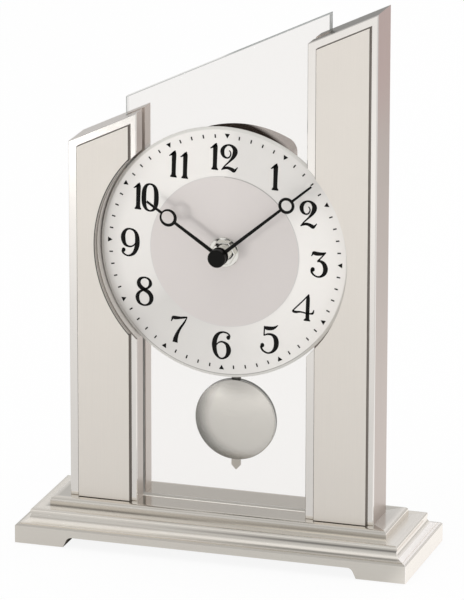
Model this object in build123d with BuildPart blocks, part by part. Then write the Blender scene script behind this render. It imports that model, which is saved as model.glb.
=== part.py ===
"""Desk pendulum clock: stepped base, two slanted columns, a glass pane, a round dial and a quartz movement.

Millimetres, +Z up, the dial faces -Y. The origin is the middle of the base, on the surface it stands on.
"""

import math
import os

from build123d import *

os.makedirs("parts", exist_ok=True)

# Fits between pieces
running_fit = 0.06
fixed_fit = 0.02
loose_fit = 0.1
layer_gap = 0.35
edge_break = 0.3

# Base: block on two feet, coved moulding, top plate
base_width = 200.0
base_depth = 67.0
pad_standout = 0.4
pad_thickness = 1.2
pad_diameter = 14.0
pad_inset = 12.5
block_top = 10.0
block_bevel = 0.8
foot_length = 25.0
arch_height = 5.2
arch_slant = 65.0
arch_radius = 3.0
moulding_inset = 6.4
moulding_flange = 0.4
moulding_height = 6.7
cove_radius = 4.0
lip_overhang = 0.4
lip_round = 1.2
cap_inset = 13.75
cap_height = 4.5
cap_round = 2.0

# Columns: a core, a polished front and a brushed panel on each side
column_gap = 86.4
column_width = 34.5
column_depth = 22.8
column_front = -13.4
front_thickness = 1.5
panel_thickness = 1.9
panel_border = 3.85
panel_shift = 0.7
panel_top_border = 3.7
slope_angle = 25.6
slope_rise = 87.75
column_screw_diameter = 4.0
column_screw_head = 7.5
column_screw_head_height = 2.2
column_screw_reach = 12.0
column_screw_spread = 9.0

# Glass pane between the columns
glass_front = -3.7
glass_thickness = 4.0
glass_width = 103.2
glass_rise = 9.5
glass_groove = 2.0
glass_edge = 0.5

# Dial
shaft_rise = 130.2
dial_radius = 63.0
dial_drop = 0.5
dial_thickness = 4.1
dial_sheet = 1.0
dial_edge = 0.45
dial_edge_width = 1.45
dial_seat_radius = 32.0
recess_radius = 63.9
recess_side = 0.2
recess_drop = 0.1
centre_radius = 37.8
centre_thickness = 0.2

# Hands and their fixing
washer_diameter = 15.0
washer_thickness = 0.8
nut_flats = 11.0
nut_thickness = 2.6
nut_chamfer = 0.4
bush_diameter = 8.0
bush_flange = 11.0
bush_flange_thickness = 0.8
bush_standout = 3.5
hour_pipe_diameter = 5.0
arbor_diameter = 2.0
pivot_diameter = 1.5
hand_thickness = 0.5
hand_hub_thickness = 1.0
hand_clearance = 0.8
hand_root_width = 1.9
hand_neck_width = 1.3
hand_tip_width = 1.05
hour_angle = 303.7
hour_length = 44.2
hour_ring_place = 31.0
hour_ring_radius = 4.35
hour_ring_wall = 1.2
hour_ring_shift = 0.35
hour_hub_radius = 4.5
minute_angle = 49.9
minute_length = 61.2
minute_ring_place = 45.0
minute_ring_radius = 4.0
minute_ring_wall = 1.35
minute_ring_shift = 0.05
minute_hub_radius = 4.2
cap_diameter = 8.8
cap_length = 2.9
cap_bevel = 0.5
cap_crown = 1.2

# Movement plates and wheels
plate_thickness = 1.4
back_plate_thickness = 1.2
plate_left = 26.0
plate_right = 10.4
plate_half_height = 22.0
plate_corner = 2.0
pillar_diameter = 3.2
pillar_inset = 2.4
gear_pressure_angle = 28.0
gear_addendum = 0.8
gear_dedendum = 1.05
gear_backlash = 0.07
cannon_teeth = 12
minute_wheel_teeth = 36
minute_pinion_teeth = 10
hour_wheel_teeth = 40
setting_teeth = 12
centre_wheel_teeth = 48
third_pinion_teeth = 8
third_wheel_teeth = 36
motion_module = 0.5
train_module = 0.4
third_module = 0.35
hour_wheel_thickness = 1.2
motion_thickness = 1.3
centre_wheel_thickness = 1.0
third_wheel_thickness = 0.8
setting_direction = 245.0
setting_arbor_diameter = 3.0
knob_diameter = 11.0
knob_thickness = 4.6
knob_seat = 2.0
knob_flutes = 12
knob_flute_radius = 0.6

# Motor, board, battery and their contacts
motor_width = 12.0
motor_height = 10.0
motor_thickness = 5.4
motor_left = 21.0
motor_rise = 10.6
motor_coil_diameter = 6.0
motor_coil_length = 16.0
board_width = 14.0
board_height = 13.0
board_thickness = 1.0
board_left = 25.4
board_lift = 3.0
battery_diameter = 14.2
battery_length = 49.2
battery_nub_diameter = 5.5
battery_nub_height = 1.3
battery_side_room = 1.0
battery_front_room = 1.6
battery_lift = 3.2
contact_thickness = 0.5
contact_width = 9.0
bay_shelf_thickness = 1.6

# Movement housing behind the glass
housing_width = 56.0
housing_rise = 57.0
housing_drop = 41.4
housing_arch_radius = 55.0
housing_corner = 7.0
housing_depth = 19.2
housing_wall = 1.6
cover_thickness = 1.6
cover_lip = 2.4
cover_lip_wall = 1.2
rod_slot_width = 19.0
finger_notch_radius = 6.0
finger_notch_depth = 0.8

# Pendulum
pivot_drop = 12.4
pin_diameter = 3.0
pin_boss_diameter = 8.0
pin_overhang = 2.0
clip_diameter = 6.0
clip_thickness = 0.8
rod_front = 11.4
rod_width = 4.7
rod_thickness = 0.8
rod_eye_radius = 4.2
rod_tail = 26.4
rod_point = 2.5
pendulum_length = 135.55
bob_radius = 20.6
bob_rim = 1.5
bob_rim_bevel = 0.4
bob_crown = 1.8
bob_sheet = 0.8
rivet_diameter = 2.0
rivet_spread = 20.0
magnet_diameter = 6.0
magnet_thickness = 1.2
drive_lift = 9.0
drive_coil_diameter = 14.0
drive_coil_core = 4.0
drive_flange_thickness = 1.0
drive_coil_gap = 0.7

# Places along the depth, from the dial to the back
column_back = column_front + column_depth
core_front = column_front + front_thickness
glass_back = glass_front + glass_thickness
dial_front = glass_front - dial_thickness
centre_front = dial_front - centre_thickness
washer_front = centre_front - washer_thickness
nut_front = washer_front - nut_thickness
bush_front = nut_front - bush_standout
hour_hub_back = bush_front - hand_clearance
hour_hub_front = hour_hub_back - hand_hub_thickness
minute_hub_back = hour_hub_front - hand_clearance
minute_hub_front = minute_hub_back - hand_hub_thickness
arbor_front = minute_hub_front - cap_length + cap_crown
wall_back = glass_back + housing_wall
plate_back = wall_back + plate_thickness
hour_wheel_front = plate_back + layer_gap
hour_wheel_back = hour_wheel_front + hour_wheel_thickness
motion_front = hour_wheel_back + layer_gap
motion_back = motion_front + motion_thickness
centre_wheel_front = motion_back + layer_gap
centre_wheel_back = centre_wheel_front + centre_wheel_thickness
third_wheel_front = centre_wheel_back + layer_gap
third_wheel_back = third_wheel_front + third_wheel_thickness
back_plate_front = third_wheel_back + layer_gap
back_plate_back = back_plate_front + back_plate_thickness
housing_back = glass_back + housing_depth
cover_back = housing_back + cover_thickness
rod_back = rod_front + rod_thickness

# Heights
cap_bottom = block_top + moulding_height
base_top = cap_bottom + cap_height
shaft_height = base_top + shaft_rise
dial_middle = shaft_height - dial_drop
recess_middle = shaft_height - recess_drop
slope_height = shaft_height + slope_rise
housing_top = shaft_height + housing_rise
housing_bottom = shaft_height - housing_drop
pivot_height = housing_top - pivot_drop
bob_height = pivot_height - pendulum_length
rod_bottom = bob_height - rod_tail
drive_height = housing_bottom + drive_lift
slope = math.tan(math.radians(slope_angle))
column_inner = column_gap / 2
column_outer = column_inner + column_width

# Wheel centres, measured from the hand shaft
motion_distance = motion_module * (cannon_teeth + minute_wheel_teeth) / 2
hour_module = 2 * motion_distance / (minute_pinion_teeth + hour_wheel_teeth)
setting_distance = motion_module * (minute_wheel_teeth + setting_teeth) / 2
third_distance = train_module * (centre_wheel_teeth + third_pinion_teeth) / 2
minute_wheel_x = -motion_distance
setting_x = minute_wheel_x + setting_distance * math.cos(math.radians(setting_direction))
setting_z = shaft_height + setting_distance * math.sin(math.radians(setting_direction))
third_z = shaft_height + third_distance
setting_back = housing_back + knob_seat
battery_x = plate_right + battery_side_room + battery_diameter / 2
battery_y = wall_back + battery_front_room + battery_diameter / 2
floor_top = housing_bottom + housing_wall
bay_floor = floor_top + battery_lift
battery_bottom = bay_floor + contact_thickness + loose_fit
battery_top = battery_bottom + battery_length + battery_nub_height
shelf_bottom = battery_top + loose_fit + contact_thickness
drive_back = rod_front - magnet_thickness - drive_coil_gap


def facing(y, x=0.0, z=0.0, turn=0.0):
    """Plane that faces the viewer at depth y, its own up direction turned clockwise by turn degrees."""
    angle = math.radians(turn)
    return Plane(origin=(x, y, z), x_dir=(math.cos(angle), 0, -math.sin(angle)), z_dir=(0, -1, 0))


def slope_at(x, lift=0.0):
    """Height of the slanted cut over the place x."""
    return slope_height + lift + slope * x


def slanted_outline(plane, left, right, bottom, lift):
    """Face of a four-sided outline whose top edge follows the slanted cut."""
    with BuildSketch(plane) as face:
        with BuildLine():
            Polyline(
                (left, bottom),
                (right, bottom),
                (right, slope_at(right, lift)),
                (left, slope_at(left, lift)),
                close=True,
            )
        make_face()
    return face.sketch


def disc(back, thickness, radius, x=0.0, z=shaft_height, bore=0.0):
    """Add a round plate that runs forward from the depth back."""
    with BuildSketch(facing(back, x, z)) as face:
        Circle(radius)
        if bore:
            Circle(bore, mode=Mode.SUBTRACT)
    extrude(face.sketch, amount=thickness)


def round_cut(back, thickness, radius, x=0.0, z=shaft_height):
    """Cut a round hole that runs forward from the depth back."""
    with BuildSketch(facing(back, x, z)) as face:
        Circle(radius)
    extrude(face.sketch, amount=thickness, mode=Mode.SUBTRACT)


def gear_outline(teeth, module, tooth_at):
    """Points of a spur wheel with straight flanks on the involute, one tooth centred at tooth_at degrees."""
    pressure = math.radians(gear_pressure_angle)
    pitch = module * teeth / 2
    tip = pitch + gear_addendum * module
    root = pitch - gear_dedendum * module
    base = pitch * math.cos(pressure)
    half_pitch = math.pi / (2 * teeth) - gear_backlash / (2 * pitch)
    base_shift = math.tan(pressure) - pressure
    points = []
    for index in range(teeth):
        middle = math.radians(tooth_at) + 2 * math.pi * index / teeth
        flank = []
        for radius in (max(root, base), tip):
            local = math.acos(base / radius)
            flank.append((radius, half_pitch + base_shift - (math.tan(local) - local)))
        if root < base:
            flank.insert(0, (root, flank[0][1]))
        for radius, half in flank:
            points.append((radius * math.cos(middle - half), radius * math.sin(middle - half)))
        for radius, half in reversed(flank):
            points.append((radius * math.cos(middle + half), radius * math.sin(middle + half)))
    return points


def gear(back, thickness, teeth, module, tooth_at, x=0.0, z=shaft_height, bore=0.0):
    """Add a toothed wheel that runs forward from the depth back."""
    with BuildSketch(facing(back, x, z)) as face:
        with BuildLine():
            Polyline(*gear_outline(teeth, module, tooth_at), close=True)
        make_face()
        if bore:
            Circle(bore, mode=Mode.SUBTRACT)
    extrude(face.sketch, amount=thickness)


def housing_outline(plane, inset):
    """Face of the housing's arched outline, drawn in by inset on every side."""
    half = housing_width / 2
    shoulder = housing_top - housing_arch_radius + math.sqrt(housing_arch_radius**2 - half**2)
    with BuildSketch(plane) as face:
        with BuildLine():
            Polyline((-half, shoulder), (-half, housing_bottom), (half, housing_bottom), (half, shoulder))
            ThreePointArc((half, shoulder), (0, housing_top), (-half, shoulder))
        make_face()
        fillet(face.vertices(), housing_corner)
        if inset:
            offset(amount=-inset, mode=Mode.REPLACE)
    return face.sketch


def write(piece, name):
    """Label a finished piece and save it under its name."""
    piece.part.label = name
    export_step(piece.part, f"parts/{name}.step")


# Base block: a bevelled slab with the arch between its feet and pockets for the pads
pad_places = (base_width - 2 * pad_inset, base_depth - 2 * pad_inset)
screw_x = (glass_width / 2 + loose_fit + column_outer) / 2
screw_y = (core_front + column_back) / 2
screw_places = [
    (side * screw_x, screw_y + shift * column_screw_spread / 2) for side in (-1, 1) for shift in (-1, 1)
]
screw_hole = column_screw_diameter / 2 + loose_fit
screw_head_seat = pad_standout + arch_height + column_screw_head_height
with BuildPart() as base_block:
    with BuildSketch(Plane.XY.offset(pad_standout)):
        Rectangle(base_width, base_depth)
    extrude(amount=block_top - pad_standout)
    chamfer(base_block.faces().sort_by(Axis.Z)[-1].edges(), block_bevel)
    arch_width = base_width - 2 * foot_length
    with BuildSketch(facing(base_depth / 2)) as arch:
        with Locations((0, pad_standout + arch_height / 2)):
            Trapezoid(arch_width, arch_height, arch_slant)
        fillet(arch.vertices().group_by(Axis.Y)[-1], arch_radius)
    extrude(amount=base_depth, mode=Mode.SUBTRACT)
    with BuildSketch(Plane.XY.offset(pad_standout)):
        with GridLocations(*pad_places, 2, 2):
            Circle(pad_diameter / 2 + loose_fit)
    extrude(amount=pad_thickness - pad_standout, mode=Mode.SUBTRACT)
    with BuildSketch(Plane.XY.offset(pad_standout)):
        with Locations(*screw_places):
            Circle(column_screw_head / 2 + loose_fit)
    extrude(amount=screw_head_seat - pad_standout, mode=Mode.SUBTRACT)
    with BuildSketch(Plane.XY.offset(screw_head_seat)):
        with Locations(*screw_places):
            Circle(screw_hole)
    extrude(amount=block_top - screw_head_seat, mode=Mode.SUBTRACT)
write(base_block, "base_block")

# Felt pads under the feet
with BuildPart() as felt_pads:
    with BuildSketch(Plane.XY):
        with GridLocations(*pad_places, 2, 2):
            Circle(pad_diameter / 2)
    extrude(amount=pad_thickness)
write(felt_pads, "felt_pads")

# Moulding: a thin flange with a cove that sweeps up under a rounded lip
flange_inset = moulding_inset - cove_radius - edge_break
with BuildPart() as base_moulding:
    with BuildSketch(Plane.XY.offset(block_top)):
        Rectangle(base_width - 2 * flange_inset, base_depth - 2 * flange_inset)
    extrude(amount=moulding_flange)
    with BuildSketch(Plane.XY.offset(block_top + moulding_flange)):
        Rectangle(base_width - 2 * moulding_inset, base_depth - 2 * moulding_inset)
    extrude(amount=moulding_height - moulding_flange)
    cove_edges = [
        edge
        for edge in base_moulding.edges().filter_by_position(
            Axis.Z, block_top + moulding_flange, block_top + moulding_flange
        )
        if abs(edge.center().X) < base_width / 2 - moulding_inset + edge_break
        and abs(edge.center().Y) < base_depth / 2 - moulding_inset + edge_break
    ]
    fillet(cove_edges, cove_radius)
    lip_inset = moulding_inset - lip_overhang
    with BuildSketch(Plane.XY.offset(cap_bottom)):
        Rectangle(base_width - 2 * lip_inset, base_depth - 2 * lip_inset)
    extrude(amount=moulding_flange + cove_radius - moulding_height)
    fillet(base_moulding.faces().sort_by(Axis.Z)[-1].edges(), lip_round)
    with BuildSketch(Plane.XY.offset(block_top)):
        with Locations(*screw_places):
            Circle(screw_hole)
    extrude(amount=moulding_height, mode=Mode.SUBTRACT)
write(base_moulding, "base_moulding")

# Top plate with the groove that the glass stands in
with BuildPart() as base_cap:
    with BuildSketch(Plane.XY.offset(cap_bottom)):
        Rectangle(base_width - 2 * cap_inset, base_depth - 2 * cap_inset)
    extrude(amount=cap_height)
    fillet(base_cap.faces().sort_by(Axis.Z)[-1].edges(), cap_round)
    with BuildSketch(Plane.XY.offset(base_top)):
        with Locations((0, (glass_front + glass_back) / 2)):
            Rectangle(glass_width + 2 * loose_fit, glass_thickness + 2 * loose_fit)
    extrude(amount=-glass_groove, mode=Mode.SUBTRACT)
    with BuildSketch(Plane.XY.offset(cap_bottom)):
        with Locations(*screw_places):
            Circle(screw_hole)
    extrude(amount=cap_height, mode=Mode.SUBTRACT)
write(base_cap, "base_cap")

# Screws that hold the columns down from below
with BuildPart() as column_screws:
    with BuildSketch(Plane.XY.offset(screw_head_seat)):
        with Locations(*screw_places):
            Circle(column_screw_head / 2)
    extrude(amount=-column_screw_head_height)
    with BuildSketch(Plane.XY.offset(screw_head_seat)):
        with Locations(*screw_places):
            Circle(column_screw_diameter / 2)
    extrude(amount=base_top + column_screw_reach - screw_head_seat)
write(column_screws, "column_screws")

# Columns: core with the glass slot, polished front and brushed panel, all opened by the dial's recess
for side, sign in (("left", -1), ("right", 1)):
    low_x = min(sign * column_inner, sign * column_outer)
    high_x = max(sign * column_inner, sign * column_outer)

    with BuildPart() as column:
        outline = slanted_outline(facing(column_back), low_x, high_x, base_top, 0)
        extrude(outline, amount=column_back - core_front)
        back_face = column.faces().sort_by(Axis.Y)[-1]
        chamfer(back_face.edges(), edge_break)
        round_cut(glass_front, column_depth, recess_radius, recess_side, recess_middle)
        slot_end = sign * (glass_width / 2 + loose_fit)
        slot_mouth = sign * (column_inner - loose_fit)
        with BuildSketch(Plane.XY.offset(base_top)):
            with Locations(((slot_end + slot_mouth) / 2, (glass_front + glass_back) / 2)):
                Rectangle(abs(slot_end - slot_mouth), glass_thickness + 2 * loose_fit)
        extrude(amount=slope_at(column_outer) - base_top, mode=Mode.SUBTRACT)
        with BuildSketch(Plane.XY.offset(base_top)):
            with Locations(*[place for place in screw_places if place[0] * sign > 0]):
                Circle(screw_hole)
        extrude(amount=column_screw_reach + loose_fit, mode=Mode.SUBTRACT)
    write(column, f"{side}_column")

    with BuildPart() as front_plate:
        outline = slanted_outline(facing(core_front), low_x, high_x, base_top, 0)
        extrude(outline, amount=front_thickness)
        chamfer(front_plate.faces().sort_by(Axis.Y)[0].edges(), edge_break)
        round_cut(core_front, front_thickness, recess_radius, recess_side, recess_middle)
    write(front_plate, f"{side}_front_plate")

    with BuildPart() as panel:
        panel_drop = panel_top_border / math.cos(math.radians(slope_angle))
        outline = slanted_outline(
            facing(column_front),
            low_x + panel_border + panel_shift,
            high_x - panel_border + panel_shift,
            base_top,
            -panel_drop,
        )
        extrude(outline, amount=panel_thickness)
        chamfer(panel.faces().sort_by(Axis.Y)[0].edges(), edge_break)
        round_cut(column_front, panel_thickness, recess_radius, recess_side, recess_middle)
    write(panel, f"{side}_panel")

# Glass pane with ground edges and the hole for the hand shaft
bush_hole = bush_diameter / 2 + loose_fit
with BuildPart() as glass_panel:
    outline = slanted_outline(
        facing(glass_back), -glass_width / 2, glass_width / 2, base_top - glass_groove, glass_rise
    )
    extrude(outline, amount=glass_thickness)
    chamfer(glass_panel.faces().sort_by(Axis.Y)[0].edges(), glass_edge)
    chamfer(glass_panel.faces().sort_by(Axis.Y)[-1].edges(), glass_edge)
    round_cut(glass_back, glass_thickness, bush_hole)
write(glass_panel, "glass_panel")

# Dial: a thin sheet with a bevelled rim on a smaller seat, and its grey centre
sheet_back = dial_front + dial_sheet
rim_top = dial_middle + dial_radius
seat_top = dial_middle + dial_seat_radius
with BuildPart() as dial_disc:
    with BuildSketch(Plane.YZ):
        with BuildLine():
            Polyline(
                (dial_front, dial_middle),
                (dial_front, rim_top - dial_edge_width),
                (dial_front + dial_edge, rim_top),
                (sheet_back, rim_top),
                (sheet_back, seat_top),
                (glass_front, seat_top),
                (glass_front, dial_middle),
                close=True,
            )
        make_face()
    revolve(axis=Axis((0, 0, dial_middle), (0, 1, 0)))
    round_cut(glass_front, dial_thickness, bush_hole)
write(dial_disc, "dial_disc")

with BuildPart() as dial_centre:
    disc(dial_front, centre_thickness, centre_radius, bore=bush_hole)
write(dial_centre, "dial_centre")

# Washer and hexagon nut that clamp the dial to the movement
with BuildPart() as dial_washer:
    disc(centre_front, washer_thickness, washer_diameter / 2, bore=bush_hole)
    chamfer(dial_washer.edges().filter_by(GeomType.CIRCLE).sort_by(Axis.Y)[:2], washer_thickness / 4)
write(dial_washer, "dial_washer")

with BuildPart() as dial_nut:
    with BuildSketch(facing(washer_front, z=shaft_height)):
        RegularPolygon(nut_flats / 2, 6, major_radius=False)
        Circle(bush_diameter / 2 + fixed_fit, mode=Mode.SUBTRACT)
    extrude(amount=nut_thickness)
    chamfer(dial_nut.faces().sort_by(Axis.Y)[0].outer_wire().edges(), nut_chamfer)
write(dial_nut, "dial_nut")

# Bush: flanged tube that carries the hour pipe through the glass and the dial
pipe_bore = hour_pipe_diameter / 2 + running_fit
flange_front = plate_back - bush_flange_thickness
with BuildPart() as shaft_bush:
    disc(plate_back, bush_flange_thickness, bush_flange / 2)
    disc(flange_front, flange_front - bush_front, bush_diameter / 2)
    round_cut(plate_back, plate_back - bush_front, pipe_bore)
write(shaft_bush, "shaft_bush")

# Movement plates, held apart by pillars
plate_width = plate_left + plate_right
plate_middle = (plate_right - plate_left) / 2
pillar_places = [
    (x, z)
    for x in (pillar_inset - plate_left, plate_right - pillar_inset)
    for z in (pillar_inset - plate_half_height, plate_half_height - pillar_inset)
]
pivot_hole = pivot_diameter / 2 + running_fit
wheel_places = [(minute_wheel_x, shaft_height), (0, third_z)]
with BuildPart() as movement_front_plate:
    with BuildSketch(facing(plate_back, plate_middle, shaft_height)):
        RectangleRounded(plate_width, 2 * plate_half_height, plate_corner)
    extrude(amount=plate_thickness)
    round_cut(plate_back, plate_thickness, bush_diameter / 2 + fixed_fit)
    round_cut(plate_back, bush_flange_thickness, bush_flange / 2 + fixed_fit)
    for x, z in [*wheel_places, (setting_x, setting_z)]:
        round_cut(plate_back, plate_thickness, pivot_hole, x, z)
write(movement_front_plate, "movement_front_plate")

with BuildPart() as movement_back_plate:
    with BuildSketch(facing(back_plate_back, plate_middle, shaft_height)):
        RectangleRounded(plate_width, 2 * plate_half_height, plate_corner)
    extrude(amount=back_plate_thickness)
    for x, z in [*wheel_places, (0, shaft_height)]:
        round_cut(back_plate_back, back_plate_thickness, pivot_hole, x, z)
    round_cut(
        back_plate_back,
        back_plate_thickness,
        setting_arbor_diameter / 2 + running_fit,
        setting_x,
        setting_z,
    )
write(movement_back_plate, "movement_back_plate")

with BuildPart() as movement_pillars:
    with BuildSketch(facing(back_plate_front, z=shaft_height)):
        with Locations(*pillar_places):
            Circle(pillar_diameter / 2)
    extrude(amount=back_plate_front - plate_back)
write(movement_pillars, "movement_pillars")

# Minute arbor with its cannon pinion, and the centre wheel that drives it
cannon_tooth_at = 180.0
centre_tooth_at = 90.0
arbor_back = back_plate_front - loose_fit
with BuildPart() as minute_arbor:
    disc(arbor_back, arbor_back - arbor_front, arbor_diameter / 2)
    disc(back_plate_back, back_plate_back - arbor_back, pivot_diameter / 2)
    gear(motion_back, motion_thickness, cannon_teeth, motion_module, cannon_tooth_at)
write(minute_arbor, "minute_arbor")

with BuildPart() as centre_wheel:
    gear(
        centre_wheel_back,
        centre_wheel_thickness,
        centre_wheel_teeth,
        train_module,
        centre_tooth_at,
        bore=arbor_diameter / 2 + fixed_fit,
    )
write(centre_wheel, "centre_wheel")

# Hour wheel with the pipe that carries the hour hand
hour_gap_shift = 180.0 / hour_wheel_teeth
arbor_bore = arbor_diameter / 2 + running_fit
with BuildPart() as hour_wheel:
    gear(hour_wheel_back, hour_wheel_thickness, hour_wheel_teeth, hour_module, 180.0 + hour_gap_shift)
    disc(hour_wheel_front, hour_wheel_front - hour_hub_front, hour_pipe_diameter / 2)
    round_cut(hour_wheel_back, hour_wheel_back - hour_hub_front, arbor_bore)
write(hour_wheel, "hour_wheel")

# Minute wheel with its pinion: turns the hour wheel once for twelve turns of the arbor
minute_gap_shift = 180.0 / minute_wheel_teeth
with BuildPart() as minute_wheel:
    gear(
        motion_back, motion_thickness, minute_wheel_teeth, motion_module, minute_gap_shift, minute_wheel_x
    )
    gear(
        motion_front, motion_front - hour_wheel_front, minute_pinion_teeth, hour_module, 0.0, minute_wheel_x
    )
    disc(arbor_back, arbor_back - motion_back, arbor_diameter / 2, minute_wheel_x)
    disc(back_plate_back, back_plate_back - wall_back - loose_fit, pivot_diameter / 2, minute_wheel_x)
write(minute_wheel, "minute_wheel")

# Third wheel, driven by the motor, with the pinion that turns the centre wheel
third_gap_shift = 180.0 / third_pinion_teeth
with BuildPart() as third_wheel:
    gear(
        third_wheel_back,
        third_wheel_thickness,
        third_wheel_teeth,
        third_module,
        0.0,
        z=third_z,
    )
    gear(
        third_wheel_front,
        third_wheel_front - centre_wheel_front + loose_fit,
        third_pinion_teeth,
        train_module,
        third_gap_shift - 90.0,
        z=third_z,
    )
    disc(back_plate_back, back_plate_back - wall_back - loose_fit, pivot_diameter / 2, z=third_z)
write(third_wheel, "third_wheel")

# Setting arbor with its pinion, and the fluted knob behind the rear cover
setting_gap_shift = 180.0 / setting_teeth
with BuildPart() as setting_arbor:
    gear(
        motion_back,
        motion_thickness,
        setting_teeth,
        motion_module,
        setting_direction - 180.0 + setting_gap_shift,
        setting_x,
        setting_z,
    )
    disc(setting_back, setting_back - motion_back, setting_arbor_diameter / 2, setting_x, setting_z)
    disc(motion_front, motion_front - wall_back - loose_fit, pivot_diameter / 2, setting_x, setting_z)
write(setting_arbor, "setting_arbor")

knob_front = setting_back - knob_seat
with BuildPart() as setting_knob:
    disc(knob_front + knob_thickness, knob_thickness, knob_diameter / 2, setting_x, setting_z)
    chamfer(setting_knob.edges().filter_by(GeomType.CIRCLE).sort_by(Axis.Y)[-1], edge_break)
    with BuildSketch(facing(knob_front + knob_thickness, setting_x, setting_z)):
        with PolarLocations(knob_diameter / 2, knob_flutes):
            Circle(knob_flute_radius)
    extrude(amount=knob_thickness, mode=Mode.SUBTRACT)
    round_cut(
        setting_back, knob_seat, setting_arbor_diameter / 2 + fixed_fit, setting_x, setting_z
    )
write(setting_knob, "setting_knob")


def hand(hub_back, turn, length, ring_place, ring_radius, ring_wall, ring_shift, hub_radius, bore):
    """Add a hand: hub, slim tapered bar, open ring and blunt tip, turned clockwise from twelve."""
    disc(hub_back, hand_hub_thickness, hub_radius, bore=bore)
    blade_back = hub_back - hand_hub_thickness + hand_thickness
    with BuildSketch(facing(blade_back, z=shaft_height, turn=turn)) as blade:
        with BuildLine():
            Polyline(
                (-hand_root_width / 2, 0),
                (hand_root_width / 2, 0),
                (hand_neck_width / 2, ring_place),
                (hand_tip_width / 2, length),
                (-hand_tip_width / 2, length),
                (-hand_neck_width / 2, ring_place),
                close=True,
            )
        make_face()
        with Locations((0, ring_place)):
            Circle(ring_radius)
        with Locations((0, ring_place + ring_shift)):
            Circle(ring_radius - ring_wall, mode=Mode.SUBTRACT)
        Circle(hub_radius - edge_break, mode=Mode.SUBTRACT)
    extrude(blade.sketch, amount=hand_thickness)


# Hands
with BuildPart() as hour_hand:
    hand(
        hour_hub_back,
        hour_angle,
        hour_length,
        hour_ring_place,
        hour_ring_radius,
        hour_ring_wall,
        hour_ring_shift,
        hour_hub_radius,
        hour_pipe_diameter / 2 + fixed_fit,
    )
write(hour_hand, "hour_hand")

with BuildPart() as minute_hand:
    hand(
        minute_hub_back,
        minute_angle,
        minute_length,
        minute_ring_place,
        minute_ring_radius,
        minute_ring_wall,
        minute_ring_shift,
        minute_hub_radius,
        arbor_diameter / 2 + fixed_fit,
    )
write(minute_hand, "minute_hand")

# Cap that covers the end of the minute arbor
with BuildPart() as hand_cap:
    disc(minute_hub_front, cap_length, cap_diameter / 2)
    chamfer(hand_cap.edges().filter_by(GeomType.CIRCLE).sort_by(Axis.Y)[0], cap_bevel)
    round_cut(minute_hub_front, minute_hub_front - arbor_front + loose_fit, arbor_diameter / 2 + fixed_fit)
write(hand_cap, "hand_cap")

# Stepping motor, its coil and the circuit board
motor_middle = motor_width / 2 - motor_left
motor_z = shaft_height + motor_rise + motor_height / 2
with BuildPart() as motor_block:
    with BuildSketch(facing(plate_back + motor_thickness, motor_middle, motor_z)):
        RectangleRounded(motor_width, motor_height, edge_break)
    extrude(amount=motor_thickness)
write(motor_block, "motor_block")

coil_z = shaft_height - plate_half_height + pillar_diameter + pillar_inset + motor_coil_diameter / 2
with BuildPart() as motor_coil:
    with BuildSketch(Plane.YZ.offset(-motor_coil_length / 2)):
        with Locations((plate_back + motor_coil_diameter / 2, coil_z)):
            RectangleRounded(motor_coil_diameter, motor_coil_diameter, motor_coil_diameter / 4)
    extrude(amount=motor_coil_length)
write(motor_coil, "motor_coil")

board_x = board_width / 2 - board_left
board_z = floor_top + board_lift + board_height / 2
with BuildPart() as circuit_board:
    with BuildSketch(facing(wall_back + board_thickness, board_x, board_z)):
        Rectangle(board_width, board_height)
    extrude(amount=board_thickness)
write(circuit_board, "circuit_board")

# Battery and its two contacts
with BuildPart() as battery:
    with BuildSketch(Plane.XY.offset(battery_bottom)):
        with Locations((battery_x, battery_y)):
            Circle(battery_diameter / 2)
    extrude(amount=battery_length)
    with BuildSketch(Plane.XY.offset(battery_bottom + battery_length)):
        with Locations((battery_x, battery_y)):
            Circle(battery_nub_diameter / 2)
    extrude(amount=battery_nub_height)
write(battery, "battery")

with BuildPart() as battery_contacts:
    for height in (bay_floor, battery_top + loose_fit):
        with BuildSketch(Plane.XY.offset(height)):
            with Locations((battery_x, battery_y)):
                Rectangle(contact_width, contact_width)
        extrude(amount=contact_thickness)
write(battery_contacts, "battery_contacts")

# Housing: arched shell, open at the back, with the pendulum's boss, the battery shelf and the rod slot
boss_back = rod_front - layer_gap
housing_inner = housing_width / 2 - housing_wall
shelf_inner = battery_x - contact_width / 2
shelf_middle = (wall_back + battery_y + contact_width / 2) / 2
shelf_reach = battery_y + contact_width / 2 - wall_back
with BuildPart() as housing:
    extrude(housing_outline(facing(housing_back), 0), amount=housing_depth)
    inside = housing_outline(facing(housing_back), housing_wall)
    extrude(inside, amount=housing_depth - housing_wall, mode=Mode.SUBTRACT)
    disc(boss_back, boss_back - wall_back, pin_boss_diameter / 2, z=pivot_height)
    with BuildSketch(Plane.XY.offset(shelf_bottom)):
        with Locations(((shelf_inner + housing_inner) / 2, shelf_middle)):
            Rectangle(housing_inner - shelf_inner, shelf_reach)
    extrude(amount=bay_shelf_thickness)
    with BuildSketch(Plane.XY.offset(floor_top)):
        with Locations((battery_x, shelf_middle)):
            Rectangle(contact_width, shelf_reach)
    extrude(amount=battery_lift)
    round_cut(wall_back, housing_wall, bush_hole)
    round_cut(boss_back, boss_back - glass_back, pin_diameter / 2 + fixed_fit, z=pivot_height)
    with BuildSketch(Plane.XY.offset(housing_bottom)):
        with Locations((0, (rod_front - magnet_thickness - layer_gap + housing_back) / 2)):
            Rectangle(rod_slot_width, housing_back - rod_front + magnet_thickness + layer_gap)
    extrude(amount=housing_wall, mode=Mode.SUBTRACT)
write(housing, "housing")

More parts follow.
